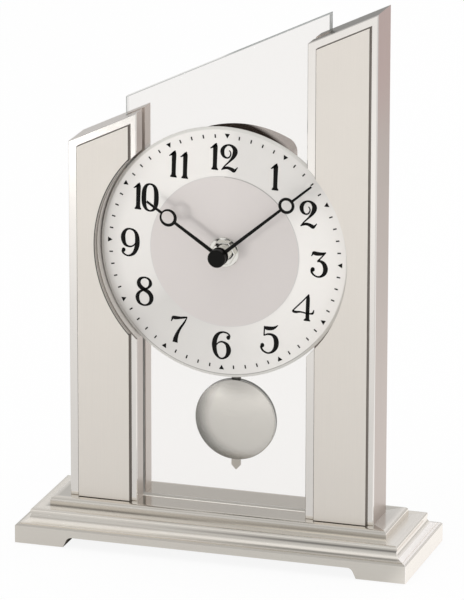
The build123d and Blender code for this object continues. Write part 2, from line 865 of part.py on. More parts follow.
# Rear cover: arched lid with a lip, a hole round the knob and a finger notch
knob_hole = knob_diameter / 2 + 2 * layer_gap
lip_outer = housing_wall + loose_fit
with BuildPart() as rear_cover:
    extrude(housing_outline(facing(cover_back), 0), amount=cover_thickness)
    chamfer(rear_cover.faces().sort_by(Axis.Y)[-1].edges(), edge_break)
    extrude(housing_outline(facing(housing_back), lip_outer), amount=cover_lip)
    inside = housing_outline(facing(housing_back), lip_outer + cover_lip_wall)
    extrude(inside, amount=cover_lip, mode=Mode.SUBTRACT)
    with BuildSketch(Plane.XY.offset(housing_bottom)):
        with Locations((0, housing_back - cover_lip / 2)):
            Rectangle(rod_slot_width, cover_lip)
    extrude(amount=housing_corner, mode=Mode.SUBTRACT)
    round_cut(cover_back, cover_thickness, knob_hole, setting_x, setting_z)
    round_cut(cover_back, finger_notch_depth, finger_notch_radius, z=housing_bottom)
write(rear_cover, "rear_cover")

# Pin that the pendulum hangs on, and the clip that keeps it there
pin_back = rod_back + layer_gap + clip_thickness + pin_overhang
with BuildPart() as pendulum_pin:
    disc(pin_back, pin_back - glass_back, pin_diameter / 2, z=pivot_height)
    chamfer(pendulum_pin.edges().filter_by(GeomType.CIRCLE).sort_by(Axis.Y)[-1], edge_break)
write(pendulum_pin, "pendulum_pin")

clip_back = rod_back + layer_gap + clip_thickness
with BuildPart() as pin_clip:
    disc(clip_back, clip_thickness, clip_diameter / 2, z=pivot_height, bore=pin_diameter / 2 + fixed_fit)
write(pin_clip, "pin_clip")

# Pendulum rod: flat strip with an eye at the top and a point below the bob
rivet_places = [(0, bob_height - rivet_spread / 2), (0, bob_height + rivet_spread / 2)]
rivet_hole = rivet_diameter / 2 + fixed_fit
with BuildPart() as pendulum_rod:
    with BuildSketch(facing(rod_back)):
        with BuildLine():
            Polyline(
                (-rod_width / 2, pivot_height),
                (-rod_width / 2, rod_bottom + rod_point),
                (0, rod_bottom),
                (rod_width / 2, rod_bottom + rod_point),
                (rod_width / 2, pivot_height),
                close=True,
            )
        make_face()
        with Locations((0, pivot_height)):
            Circle(rod_eye_radius)
            Circle(pin_diameter / 2 + running_fit, mode=Mode.SUBTRACT)
        with Locations(*rivet_places):
            Circle(rivet_hole, mode=Mode.SUBTRACT)
    extrude(amount=rod_thickness)
write(pendulum_rod, "pendulum_rod")

# Bob: a front shell crowned as part of a sphere with a bevelled rim, and a flat back
rim_front = rod_front - bob_rim
crown_front = rim_front - bob_crown
sphere_radius = (bob_radius**2 + bob_crown**2) / (2 * bob_crown)
half_way = math.asin(bob_radius / sphere_radius) / 2
crown_middle = (
    crown_front + sphere_radius * (1 - math.cos(half_way)),
    bob_height + sphere_radius * math.sin(half_way),
)
with BuildPart() as bob_front:
    with BuildSketch(Plane.YZ):
        with BuildLine():
            Polyline(
                (crown_front, bob_height),
                (rod_front, bob_height),
                (rod_front, bob_height + bob_radius),
                (rim_front, bob_height + bob_radius),
            )
            ThreePointArc((rim_front, bob_height + bob_radius), crown_middle, (crown_front, bob_height))
        make_face()
    revolve(axis=Axis((0, 0, bob_height), (0, 1, 0)))
    rim_edges = [edge for edge in bob_front.edges() if edge.is_closed and edge.center().Y < rod_front]
    chamfer(rim_edges, bob_rim_bevel)
    for x, z in rivet_places:
        round_cut(rod_front, bob_sheet, rivet_hole, x, z)
write(bob_front, "bob_front")

with BuildPart() as bob_back:
    disc(rod_back + bob_sheet, bob_sheet, bob_radius, z=bob_height)
    for x, z in rivet_places:
        round_cut(rod_back + bob_sheet, bob_sheet, rivet_hole, x, z)
write(bob_back, "bob_back")

with BuildPart() as bob_rivets:
    for x, z in rivet_places:
        disc(rod_back + bob_sheet, rod_thickness + 2 * bob_sheet, rivet_diameter / 2, x, z)
        disc(rod_back + 2 * bob_sheet, bob_sheet, rivet_diameter, x, z)
write(bob_rivets, "bob_rivets")

# Magnet on the rod and the fixed coil that keeps it swinging
with BuildPart() as drive_magnet:
    disc(rod_front, magnet_thickness, magnet_diameter / 2, z=drive_height)
write(drive_magnet, "drive_magnet")

with BuildPart() as drive_coil:
    for back in (drive_back, wall_back + drive_flange_thickness):
        disc(back, drive_flange_thickness, drive_coil_diameter / 2, z=drive_height)
    winding_back = drive_back - drive_flange_thickness
    disc(
        winding_back,
        winding_back - wall_back - drive_flange_thickness,
        drive_coil_diameter / 2 - drive_flange_thickness,
        z=drive_height,
    )
    round_cut(drive_back, drive_back - wall_back, drive_coil_core / 2, z=drive_height)
write(drive_coil, "drive_coil")
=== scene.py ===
"""Looks of the desk pendulum clock: finishes, printed dial, domed bob, studio and camera.

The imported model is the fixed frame. Sizes are in millimetres and become metres when a mesh is made.
"""

import logging
import math
from dataclasses import dataclass, replace
from enum import Enum
from functools import cache
from typing import Any, Mapping, Sequence

import bmesh
import bpy
import numpy as np
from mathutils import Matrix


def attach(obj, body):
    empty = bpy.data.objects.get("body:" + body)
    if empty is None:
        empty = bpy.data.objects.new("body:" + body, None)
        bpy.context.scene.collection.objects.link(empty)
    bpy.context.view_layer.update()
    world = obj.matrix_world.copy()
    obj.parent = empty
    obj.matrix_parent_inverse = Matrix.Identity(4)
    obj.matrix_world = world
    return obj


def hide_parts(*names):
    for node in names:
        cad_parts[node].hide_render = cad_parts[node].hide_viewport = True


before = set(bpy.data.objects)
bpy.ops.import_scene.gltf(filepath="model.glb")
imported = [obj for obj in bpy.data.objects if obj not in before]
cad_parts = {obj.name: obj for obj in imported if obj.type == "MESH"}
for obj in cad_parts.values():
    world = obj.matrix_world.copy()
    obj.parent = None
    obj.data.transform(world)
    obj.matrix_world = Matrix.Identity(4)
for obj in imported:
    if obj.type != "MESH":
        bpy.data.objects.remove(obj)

LOG = logging.getLogger("clock")
# One millimetre and the distance at which points are joined, in metres, and the soft edge of a mask in millimetres
MM = 0.001
WELD = 1e-7
FADE = 0.2
Colour = tuple[float, float, float]
Range = tuple[float, float]
Cells = tuple[float, float, float]
Stroke = tuple[tuple[float, float, float], ...]


class Val:
    """A number that changes over a surface; its operators add Math nodes to its board."""

    def __init__(self, board: "Board", socket: bpy.types.NodeSocket) -> None:
        """Keeps the socket that carries the number and the board that it is on."""
        self.board = board
        self.socket = socket

    def __add__(self, other: "Val | float") -> "Val":
        """Sum."""
        return self.board.math("ADD", self, other)

    def __sub__(self, other: "Val | float") -> "Val":
        """Difference."""
        return self.board.math("SUBTRACT", self, other)

    def __rsub__(self, other: float) -> "Val":
        """Difference from a plain number."""
        return self.board.math("SUBTRACT", other, self)

    def __mul__(self, other: "Val | float") -> "Val":
        """Product."""
        return self.board.math("MULTIPLY", self, other)

    def __truediv__(self, other: "Val | float") -> "Val":
        """Quotient."""
        return self.board.math("DIVIDE", self, other)

    def __pow__(self, other: "Val | float") -> "Val":
        """Power."""
        return self.board.math("POWER", self, other)

    def __abs__(self) -> "Val":
        """Size without the sign."""
        return self.board.math("ABSOLUTE", self)

    __radd__ = __add__
    __rmul__ = __mul__

    def wave(self, length: float) -> "Val":
        """Sine of this number, with one full wave for each length, from 0 to 1."""
        return self.board.math("SINE", self * (2 * math.pi / length)) * 0.5 + 0.5

    def spread(self, middle: float, width: float) -> "Val":
        """Stretches a number that runs from 0 to 1 over a range of this width about the middle."""
        return self * width + (middle - width / 2)

    def between(self, begin: Range, end: Range) -> "Val":
        """1 between a smooth step up and a smooth step down, 0 outside them."""
        return self.rise(*begin) * (1 - self.rise(*end))

    def rise(self, low: float, high: float) -> "Val":
        """Smooth step over this number.

        Args:
            low: Where the step begins, with 0.
            high: Where the step ends, with 1.

        Returns:
            The height of the step.
        """
        node = self.board.node(
            "ShaderNodeMapRange",
            {"interpolation_type": "SMOOTHSTEP"},
            {"Value": self, "From Min": low, "From Max": high},
        )
        return Val(self.board, node.outputs["Result"])


class Side(Enum):
    """Which way a surface faces, as the number of the axis in its direction."""

    END = 0
    FRONT = 1
    TOP = 2


class Board:
    """The node tree of one material or of the world."""

    def __init__(self, tree: bpy.types.NodeTree) -> None:
        """Empties the tree so that only the nodes added here are in it."""
        self.tree = tree
        self.tree.nodes.clear()

    def node(
        self,
        kind: str,
        settings: Mapping[str, Any] | None = None,
        inputs: Mapping[str | int, Any] | None = None,
    ) -> bpy.types.Node:
        """Adds any node.

        Args:
            kind: Blender's name of the node type.
            settings: Properties to set first; "stops" holds the places and colours of a ramp.
            inputs: Values or links of the sockets, by name or number.

        Returns:
            The new node.
        """
        node = self.tree.nodes.new(kind)
        for name, value in (settings or {}).items():
            if name == "stops":
                self._set_stops(node.color_ramp, value)
            else:
                setattr(node, name, value)
        for key, value in (inputs or {}).items():
            if isinstance(value, Val):
                self.tree.links.new(value.socket, node.inputs[key])
            elif isinstance(value, bpy.types.NodeSocket):
                self.tree.links.new(value, node.inputs[key])
            else:
                node.inputs[key].default_value = value
        return node

    @staticmethod
    def _set_stops(ramp: bpy.types.ColorRamp, stops: Sequence[tuple[float, Colour]]) -> None:
        """Sets the places and colours of a colour ramp.

        Args:
            ramp: The ramp to change.
            stops: Place from 0 to 1 and colour of each stop, in order.
        """
        while len(ramp.elements) < len(stops):
            ramp.elements.new(1.0)
        for element, (place, colour) in zip(ramp.elements, stops):
            element.position = place
            element.color = (*colour, 1.0)

    def math(self, operation: str, *terms: "Val | float") -> Val:
        """Adds one Math node with the given terms."""
        node = self.node("ShaderNodeMath", {"operation": operation}, dict(enumerate(terms)))
        return Val(self, node.outputs[0])

    def vector(self, x: "Val | float", y: "Val | float", z: "Val | float") -> bpy.types.NodeSocket:
        """Joins three numbers to a vector."""
        return self.node("ShaderNodeCombineXYZ", None, {"X": x, "Y": y, "Z": z}).outputs[0]

    def split(self, socket: bpy.types.NodeSocket) -> tuple[Val, Val, Val]:
        """Splits a vector into three numbers."""
        node = self.node("ShaderNodeSeparateXYZ", None, {"Vector": socket})
        return Val(self, node.outputs[0]), Val(self, node.outputs[1]), Val(self, node.outputs[2])

    def place(self) -> tuple[Val, Val, Val]:
        """Place on the object.

        Returns:
            Millimetres to the right, to the back and up.
        """
        coordinates = self.node("ShaderNodeTexCoord").outputs["Object"]
        x, y, z = self.split(coordinates)
        return x * (1 / MM), y * (1 / MM), z * (1 / MM)

    def stretched(self, across: float, back: float, up: float) -> bpy.types.NodeSocket:
        """Place on the object with so many noise cells to a millimetre on each axis."""
        x, y, z = self.place()
        return self.vector(x * across, y * back, z * up)

    def faces(self, side: Side, low: float = 0.5, high: float = 0.7) -> Val:
        """Mask of the surfaces that face one way or the opposite way.

        Args:
            side: The way.
            low: Size of that part of the surface's direction where the mask begins.
            high: Size of it where the mask is full.

        Returns:
            The mask, from 0 to 1.
        """
        direction = self.split(self.node("ShaderNodeTexCoord").outputs["Normal"])
        return abs(direction[side.value]).rise(low, high)

    def noise(self, vector: bpy.types.NodeSocket, detail: float = 2.0) -> Val:
        """Smooth noise that takes one unit of the vector as one cell.

        Args:
            vector: Coordinates of the noise.
            detail: Number of finer layers in it.

        Returns:
            The noise, from 0 to 1.
        """
        inputs = {"Vector": vector, "Scale": 1.0, "Detail": detail, "Roughness": 0.6}
        return Val(self, self.node("ShaderNodeTexNoise", None, inputs).outputs[0])

    def mix(self, share: Val, start: Any, end: Any) -> bpy.types.NodeSocket:
        """Mixes two colours.

        Args:
            share: Share of the second colour, from 0 to 1.
            start: First colour, given or linked.
            end: Second colour, given or linked.

        Returns:
            The mixed colour.
        """
        first = (*start, 1.0) if isinstance(start, tuple) else start
        second = (*end, 1.0) if isinstance(end, tuple) else end
        node = self.node("ShaderNodeMix", {"data_type": "RGBA"}, {0: share, 6: first, 7: second})
        return node.outputs[2]

    def multiply(self, first: bpy.types.NodeSocket, second: bpy.types.NodeSocket) -> bpy.types.NodeSocket:
        """Product of two colours."""
        settings = {"data_type": "RGBA", "blend_type": "MULTIPLY"}
        return self.node("ShaderNodeMix", settings, {0: 1.0, 6: first, 7: second}).outputs[2]

    def ramp(self, place: Val, stops: Sequence[tuple[float, Colour]]) -> bpy.types.NodeSocket:
        """Colours that follow each other along a place from 0 to 1."""
        return self.node("ShaderNodeValToRGB", {"stops": stops}, {0: place}).outputs[0]

    def bump(self, height: Val, depth: float) -> bpy.types.NodeSocket:
        """Surface direction of a relief whose height runs from 0 to depth millimetres."""
        inputs = {"Height": height, "Strength": 1.0, "Distance": depth * MM}
        return self.node("ShaderNodeBump", None, inputs).outputs[0]

    def principled(self, inputs: Mapping[str, Any]) -> bpy.types.NodeSocket:
        """Adds a surface shader with these inputs."""
        return self.node("ShaderNodeBsdfPrincipled", None, inputs).outputs[0]

    def blend(
        self, share: Val, first: bpy.types.NodeSocket, second: bpy.types.NodeSocket
    ) -> bpy.types.NodeSocket:
        """Mixes two shaders by the share of the second."""
        return self.node("ShaderNodeMixShader", None, {0: share, 1: first, 2: second}).outputs[0]

    def output(self, shader: bpy.types.NodeSocket, kind: str = "ShaderNodeOutputMaterial") -> None:
        """Connects the finished shader to the output."""
        self.node(kind, None, {"Surface": shader})


def shade(hex_code: str) -> Colour:
    """Linear colour of a screen colour.

    Args:
        hex_code: Two digits each for red, green and blue.

    Returns:
        Red, green and blue from 0 to 1.
    """
    parts = np.array([int(hex_code[i : i + 2], 16) for i in (0, 2, 4)]) / 255
    linear = np.where(parts <= 0.04045, parts / 12.92, ((parts + 0.055) / 1.055) ** 2.4)
    return tuple(float(part) for part in linear)


def tone(colour: Colour, factor: float) -> Colour:
    """The colour made lighter or darker by a factor."""
    return tuple(min(1.0, part * factor) for part in colour)


@dataclass(frozen=True)
class Recess:
    """The round opening that the columns leave for the dial."""

    across: float = 0.2
    height: float = 151.3
    radius: float = 63.9
    wall_fade: Range = (0.05, 0.2)
    # Offset, soft width and right-hand end of the painted shadow line round the opening, which only the left
    # column has
    line_offset: float = 0.4
    line_fade: Range = (0.2, 0.42)
    line_end: float = -10.0

    def from_middle(self, board: Board) -> Val:
        """Distance from the middle of the opening.

        Args:
            board: The material's nodes.

        Returns:
            The distance in millimetres.
        """
        x, _, z = board.place()
        right, up = x - self.across, z - self.height
        return (right * right + up * up) ** 0.5

    def wall(self, board: Board) -> Val:
        """Mask of the opening's curved wall."""
        inside = 1 - (self.from_middle(board) - self.radius).rise(*self.wall_fade)
        return inside * (1 - board.faces(Side.FRONT))

    def edge(self, board: Board) -> Val:
        """Mask of the painted shadow line round the opening on the face of the left column.

        Args:
            board: The material's nodes.

        Returns:
            1 on the line, 0 beside it.
        """
        from_line = abs(self.from_middle(board) - (self.radius + self.line_offset))
        left = 1 - board.place()[0].rise(self.line_end, 0.0)
        return (1 - from_line.rise(*self.line_fade)) * left * board.faces(Side.FRONT)


class Grain(Enum):
    """Which way brush marks run."""

    ACROSS = "across"
    UPRIGHT = "upright"
    ROUND_DIAL = "round the hand shaft"


@dataclass(frozen=True)
class Finish:
    """What every finish shares: its name, its colour and the making of its material."""

    name: str
    colour: Colour

    def shader(self, board: Board) -> bpy.types.NodeSocket:
        """Adds the nodes of the finish."""
        raise NotImplementedError

    def make(self) -> bpy.types.Material:
        """Builds the material.

        Returns:
            The material.
        """
        material = bpy.data.materials.new(self.name)
        material.use_nodes = True
        board = Board(material.node_tree)
        board.output(self.shader(board))
        return material


@cache
def material_of(finish: Finish) -> bpy.types.Material:
    """Material of a finish, made once and shared by all its pieces."""
    return finish.make()


@dataclass(frozen=True)
class BrushedMetal(Finish):
    """Metal with long fine brush marks: noise drawn out along the grain."""

    roughness: float = 0.32
    grain: Grain = Grain.ACROSS
    contrast: float = 0.05
    depth: float = 0.012
    fine: float = 5.0
    coarse: float = 0.04
    round_coarse: float = 1.6
    cloud_cells: float = 0.03
    streak_share: float = 0.7
    share_range: Range = (0.25, 0.75)
    gloss_swing: float = 0.14
    shaft_height: float = 151.4
    # Painted shade on faces that do not face the front, painted light and shade on the wall of the dial's opening,
    # and a painted shadow line round the opening
    edge_colour: Colour | None = None
    recess: Recess | None = None
    painted_recess_colour: Colour = (1.0, 1.0, 1.0)
    recess_metallic: float = 1.0
    shade_line_colour: Colour = (0.03, 0.028, 0.025)
    shade_line_share: float = 0.0

    def streak_vector(self, board: Board) -> bpy.types.NodeSocket:
        """Coordinates that change fast across the grain and slowly along it.

        Args:
            board: The material's nodes.

        Returns:
            The vector for the noise.
        """
        if self.grain is Grain.UPRIGHT:
            return board.stretched(self.fine, self.fine, self.coarse)
        x, y, z = board.place()
        if self.grain is Grain.ROUND_DIAL:
            up = z - self.shaft_height
            radius = (x * x + up * up) ** 0.5
            return board.vector(
                radius * self.fine, x / radius * self.round_coarse, up / radius * self.round_coarse
            )
        end = board.faces(Side.END, 0.6, 0.8)
        swing = self.fine - self.coarse
        return board.vector(x * (end * swing + self.coarse), y * (self.fine - end * swing), z * self.fine)

    def tinted(
        self, board: Board, base: bpy.types.NodeSocket
    ) -> tuple[bpy.types.NodeSocket, Val | float]:
        """Colour and metal share of the piece; the plain metal keeps both as they are."""
        return base, 1.0

    def covered(self, board: Board, surface: bpy.types.NodeSocket) -> bpy.types.NodeSocket:
        """Shader of the whole piece; the plain metal adds nothing."""
        return surface

    def shader(self, board: Board) -> bpy.types.NodeSocket:
        """Adds the nodes: the streaks vary the metal's colour, its roughness and its relief.

        Args:
            board: The material's nodes.

        Returns:
            The shader.
        """
        streak = board.noise(self.streak_vector(board), 3.0)
        cloud = board.noise(board.stretched(self.cloud_cells, self.cloud_cells, self.cloud_cells))
        share = (streak * self.streak_share + cloud * (1 - self.streak_share)).rise(*self.share_range)
        base = board.mix(share, tone(self.colour, 1 - self.contrast), tone(self.colour, 1 + self.contrast))
        # Painted shade on the side faces
        if self.edge_colour:
            base = board.mix(board.faces(Side.FRONT, 0.75, 0.95), self.edge_colour, base)
        base, metallic = self.tinted(board, base)
        # Painted light and shade on the opening's wall, and the painted shadow line round it
        if self.recess:
            wall = self.recess.wall(board)
            base = board.mix(wall, base, self.painted_recess_colour)
            base = board.mix(self.recess.edge(board) * self.shade_line_share, base, self.shade_line_colour)
            metallic = (1 - wall * (1 - self.recess_metallic)) * metallic
        metal = board.principled(
            {
                "Base Color": base,
                "Metallic": metallic,
                "Roughness": streak.spread(self.roughness, self.gloss_swing),
                "Normal": board.bump(streak, self.depth),
            }
        )
        return self.covered(board, metal)


@dataclass(frozen=True)
class BaseMetal(BrushedMetal):
    """Metal of the stepped base, with painted highlights and painted shade lines that run along its profile.

    The bands are pairs of a place along the profile and a factor on the colour there.
    """

    half_width: float = 100.0
    half_depth: float = 33.5
    block_top: float = 10.0
    inset_gain: float = 0.713
    height_gain: float = 1.93
    profile_length: float = 34.0
    brightest: float = 1.5
    # Painted highlights and painted shade lines along the profile, at the left and at the right end
    left_light_and_shade_bands: tuple[tuple[float, float], ...] = ()
    right_light_and_shade_bands: tuple[tuple[float, float], ...] = ()
    band_pass: Range = (-60.0, 60.0)
    # Painted light on the end faces and on the right end's ledge
    end_light_gain: float = 1.3
    ledge_light_colour: Colour = (1.0, 0.96, 0.935)
    ledge_fade: float = 0.4
    ledge_fall: Range = (9.0, 16.0)
    ledge_least: float = 0.35
    ledge_dull: float = 0.95
    cove_begin: Range = (1.2, 2.5)
    cove_end: Range = (7.0, 9.5)
    cove_dull: float = 0.7
    step_begin: Range = (17.5, 19.5)
    step_end: Range = (21.5, 23.0)
    step_dull: float = 0.4
    # Painted shade: a dull dark surface on the walls of the arch between the feet
    arch_shade_colour: Colour = (0.04, 0.04, 0.04)
    arch_half_width: float = 75.2
    arch_top: float = 5.7

    def bands(self, board: Board, along: Val) -> bpy.types.NodeSocket:
        """Painted highlights and painted shade lines, which pass from the left end's to the right end's over the
        length of the base.

        Args:
            board: The material's nodes.
            along: Place along the profile.

        Returns:
            The factor on the metal's colour, as a grey.
        """
        ends = [
            board.ramp(
                along * (1 / self.profile_length),
                [(place / self.profile_length, (factor / self.brightest,) * 3) for place, factor in stops],
            )
            for stops in (self.left_light_and_shade_bands, self.right_light_and_shade_bands)
        ]
        return board.mix(board.place()[0].rise(*self.band_pass), *ends)

    def tinted(
        self, board: Board, base: bpy.types.NodeSocket
    ) -> tuple[bpy.types.NodeSocket, Val | float]:
        """Paints highlights and shade lines by a place that grows along the profile, from the block's edge inwards
        and upwards, and paints light on the ends and on the right end's ledge.

        Args:
            board: The material's nodes.
            base: Colour of the plain metal.

        Returns:
            The colour, and the metal share, which is lower in the cove, on the ledge and on the step.
        """
        x, y, z = board.place()
        to_end = board.faces(Side.END, 0.5, 0.8)
        inset = board.math("MINIMUM", self.half_width - abs(x), self.half_depth - abs(y))
        along = inset * self.inset_gain + (z - self.block_top) * self.height_gain
        # Painted highlights and painted shade lines along the profile
        banded = board.multiply(base, self.bands(board, along))
        # Painted light on the right end's ledge
        by_right_end = (inset - (self.half_width - x)).rise(-self.ledge_fade, 0.0)
        lit_right_ledge = by_right_end * (1 - along.rise(*self.ledge_fall) * (1 - self.ledge_least))
        banded = board.mix(lit_right_ledge, banded, self.ledge_light_colour)
        # Painted light on the end faces
        banded = board.mix(to_end, banded, tone(self.colour, self.end_light_gain / self.brightest))
        cove = along.between(self.cove_begin, self.cove_end)
        step = along.between(self.step_begin, self.step_end)
        dull = board.math("MAXIMUM", cove * self.cove_dull, lit_right_ledge * self.ledge_dull * (1 - to_end))
        return banded, 1 - board.math("MAXIMUM", dull, step * self.step_dull)

    def covered(self, board: Board, surface: bpy.types.NodeSocket) -> bpy.types.NodeSocket:
        """Paints shade on the walls of the arch between the feet, which are left dull and dark.

        Args:
            board: The material's nodes.
            surface: Shader of the metal.

        Returns:
            The shader of the whole base.
        """
        x, _, z = board.place()
        between_feet = 1 - abs(x).rise(self.arch_half_width, self.arch_half_width + FADE)
        low = 1 - z.rise(self.arch_top, self.arch_top + FADE)
        # Painted shade on the arch's walls
        wall = board.principled(
            {"Base Color": (*self.arch_shade_colour, 1.0), "Roughness": 1.0, "Specular IOR Level": 0.0}
        )
        return board.blend(between_feet * low * (1 - board.faces(Side.FRONT)), surface, wall)


@dataclass(frozen=True)
class ColumnMetal(BrushedMetal):
    """Metal of the columns: painted light on the left one, painted shade on the top and side of the right one,
    dull with painted light in the glass's slot.
    """

    slot_back: float = 0.4
    slot_fade: Range = (0.2, 0.4)
    # Painted light on the slot's back wall
    slot_light_gain: float = 1.35
    sides_pass: Range = (-5.0, 5.0)
    # Painted light on the left column's top and side, painted shade on the right column's top and on its side low
    # down and high up
    left_top_light: Colour = (1.0, 1.0, 1.0)
    left_side_light: Colour = (1.0, 1.0, 1.0)
    left_side_least: float = 0.3
    right_top_shade: Colour = (0.5, 0.5, 0.5)
    right_high_shade: Colour = (0.6, 0.5, 0.5)
    low_shade_gain: float = 0.9
    low_from: float = 30.0
    low_to: float = 200.0
    high_to: float = 250.0

    def tinted(
        self, board: Board, base: bpy.types.NodeSocket
    ) -> tuple[bpy.types.NodeSocket, Val | float]:
        """Paints light on the left column, paints shade on the right one by height, and paints the slot's back
        wall lighter and dull.

        Args:
            board: The material's nodes.
            base: Colour of the plain metal.

        Returns:
            The colour and the metal share.
        """
        x, y, z = board.place()
        to_side, to_front, to_top = (board.faces(side, 0.5, 0.8) for side in Side)
        right = x.rise(*self.sides_pass)
        left = 1 - right
        low = 1 - z.rise(self.low_from, self.low_to)
        high = z.rise(self.low_to, self.high_to)
        # Painted light on the left column's top and side
        base = board.mix(left * to_top, base, self.left_top_light)
        lightened = low.spread((1 + self.left_side_least) / 2, 1 - self.left_side_least)
        base = board.mix(left * to_side * lightened, base, self.left_side_light)
        # Painted shade on the right column's top and on its side low down and high up
        base = board.mix(right * to_top, base, self.right_top_shade)
        base = board.mix(right * to_side * low, base, tone(self.colour, self.low_shade_gain))
        base = board.mix(right * to_side * high, base, self.right_high_shade)
        # Painted light on the slot's back wall, which is also dull
        slot = to_front * (1 - abs(y - self.slot_back).rise(*self.slot_fade))
        return board.mix(slot, base, tone(self.colour, self.slot_light_gain)), 1 - slot


@dataclass(frozen=True)
class BobMetal(BrushedMetal):
    """Metal of the bob, with painted shade towards its rim, most of all low on the left."""

    height: float = 60.45
    bob_radius: float = 20.6
    back: float = 11.4
    # Painted shade: its tone, how the lit side is spared, the band at the rim, the soft shadow under the rod and
    # the line at the back
    dark_tone: float = 0.42
    light_across: float = 0.85
    light_up: float = 0.2
    light_share: float = 0.25
    shadow_range: Range = (0.92, 1.5)
    hung_squeeze: float = 0.35
    hung_range: Range = (0.3, 1.0)
    hung_share: float = 0.55
    line_out: Range = (0.95, 0.985)
    line_depth: Range = (-0.9, -0.2)
    line_up: Range = (-0.6, 0.0)

    def tinted(
        self, board: Board, base: bpy.types.NodeSocket
    ) -> tuple[bpy.types.NodeSocket, Val | float]:
        """Paints shade on the rim over a band that is wide low on the left and a line at the back on the right.

        A second soft painted shadow hangs below the top, where the rod goes behind the bob.

        Args:
            board: The material's nodes.
            base: Colour of the plain metal.

        Returns:
            The colour and the metal share.
        """
        x, y, z = board.place()
        up = z - self.height
        out = (x * x + up * up) ** 0.5 / self.bob_radius
        lit = (x * self.light_across + up * self.light_up) / self.bob_radius
        # Painted shade at the rim, strongest low on the left
        shadow = (out + (1 - lit) * self.light_share).rise(*self.shadow_range)
        from_top = (x * x * self.hung_squeeze + (up - self.bob_radius) ** 2) ** 0.5 / self.bob_radius
        hung = (1 - from_top).rise(*self.hung_range) * self.hung_share
        at_back = (y - self.back).rise(*self.line_depth)
        line = out.rise(*self.line_out) * at_back * (up / self.bob_radius).rise(*self.line_up)
        shadow = board.math("MAXIMUM", board.math("MAXIMUM", shadow, line), hung)
        return board.mix(shadow, base, tone(self.colour, self.dark_tone)), 1.0


@dataclass(frozen=True)
class RodMetal(BrushedMetal):
    """Metal of the pendulum's rod, with painted shade on its front where the dial and the housing keep the light
    off.
    """

    # Heights, fades, depth and tone of the painted shade on the rod's front
    dark_from: float = 80.5
    dark_to: float = 92.0
    fade_in: float = 1.0
    fade_out: float = 6.0
    middle: float = 11.8
    dark_tone: float = 0.16
    dark_share: float = 0.9

    def tinted(
        self, board: Board, base: bpy.types.NodeSocket
    ) -> tuple[bpy.types.NodeSocket, Val | float]:
        """Paints shade on the front of the rod between the bob and the dial.

        Args:
            board: The material's nodes.
            base: Colour of the plain metal.

        Returns:
            The colour and the metal share.
        """
        _, y, z = board.place()
        # Painted shade on the rod's front between the bob and the dial
        hidden = z.between(
            (self.dark_from - self.fade_in, self.dark_from), (self.dark_to, self.dark_to + self.fade_out)
        )
        front = 1 - (y - self.middle).rise(-FADE / 2, FADE / 2)
        return board.mix(hidden * front * self.dark_share, base, tone(self.colour, self.dark_tone)), 1.0


@dataclass(frozen=True)
class PolishedMetal(Finish):
    """Mirror-bright metal with a faint haze where it has been wiped."""

    roughness: float = 0.05
    haze: float = 0.08
    haze_cells: Cells = (0.09, 0.09, 0.03)
    haze_range: Range = (0.35, 0.75)
    haze_tone: float = 0.97
    ripple_cells: Cells = (0.05, 0.05, 0.02)
    ripple_depth: float = 0.02
    # Painted shade on the wall of the dial's opening
    recess: Recess | None = None
    painted_recess_colour: Colour = (1.0, 1.0, 1.0)

    def shader(self, board: Board) -> bpy.types.NodeSocket:
        """Adds the nodes: soft clouds of haze on a mirror that is a little wavy.

        Args:
            board: The material's nodes.

        Returns:
            The shader.
        """
        haze = board.noise(board.stretched(*self.haze_cells), 4.0).rise(*self.haze_range)
        ripple = board.noise(board.stretched(*self.ripple_cells), 1.0)
        base = board.mix(haze, self.colour, tone(self.colour, self.haze_tone))
        # Painted shade on the wall of the dial's opening
        if self.recess:
            base = board.mix(self.recess.wall(board), base, self.painted_recess_colour)
        return board.principled(
            {
                "Base Color": base,
                "Metallic": 1.0,
                "Roughness": haze * self.haze + self.roughness,
                "Normal": board.bump(ripple, self.ripple_depth),
            }
        )


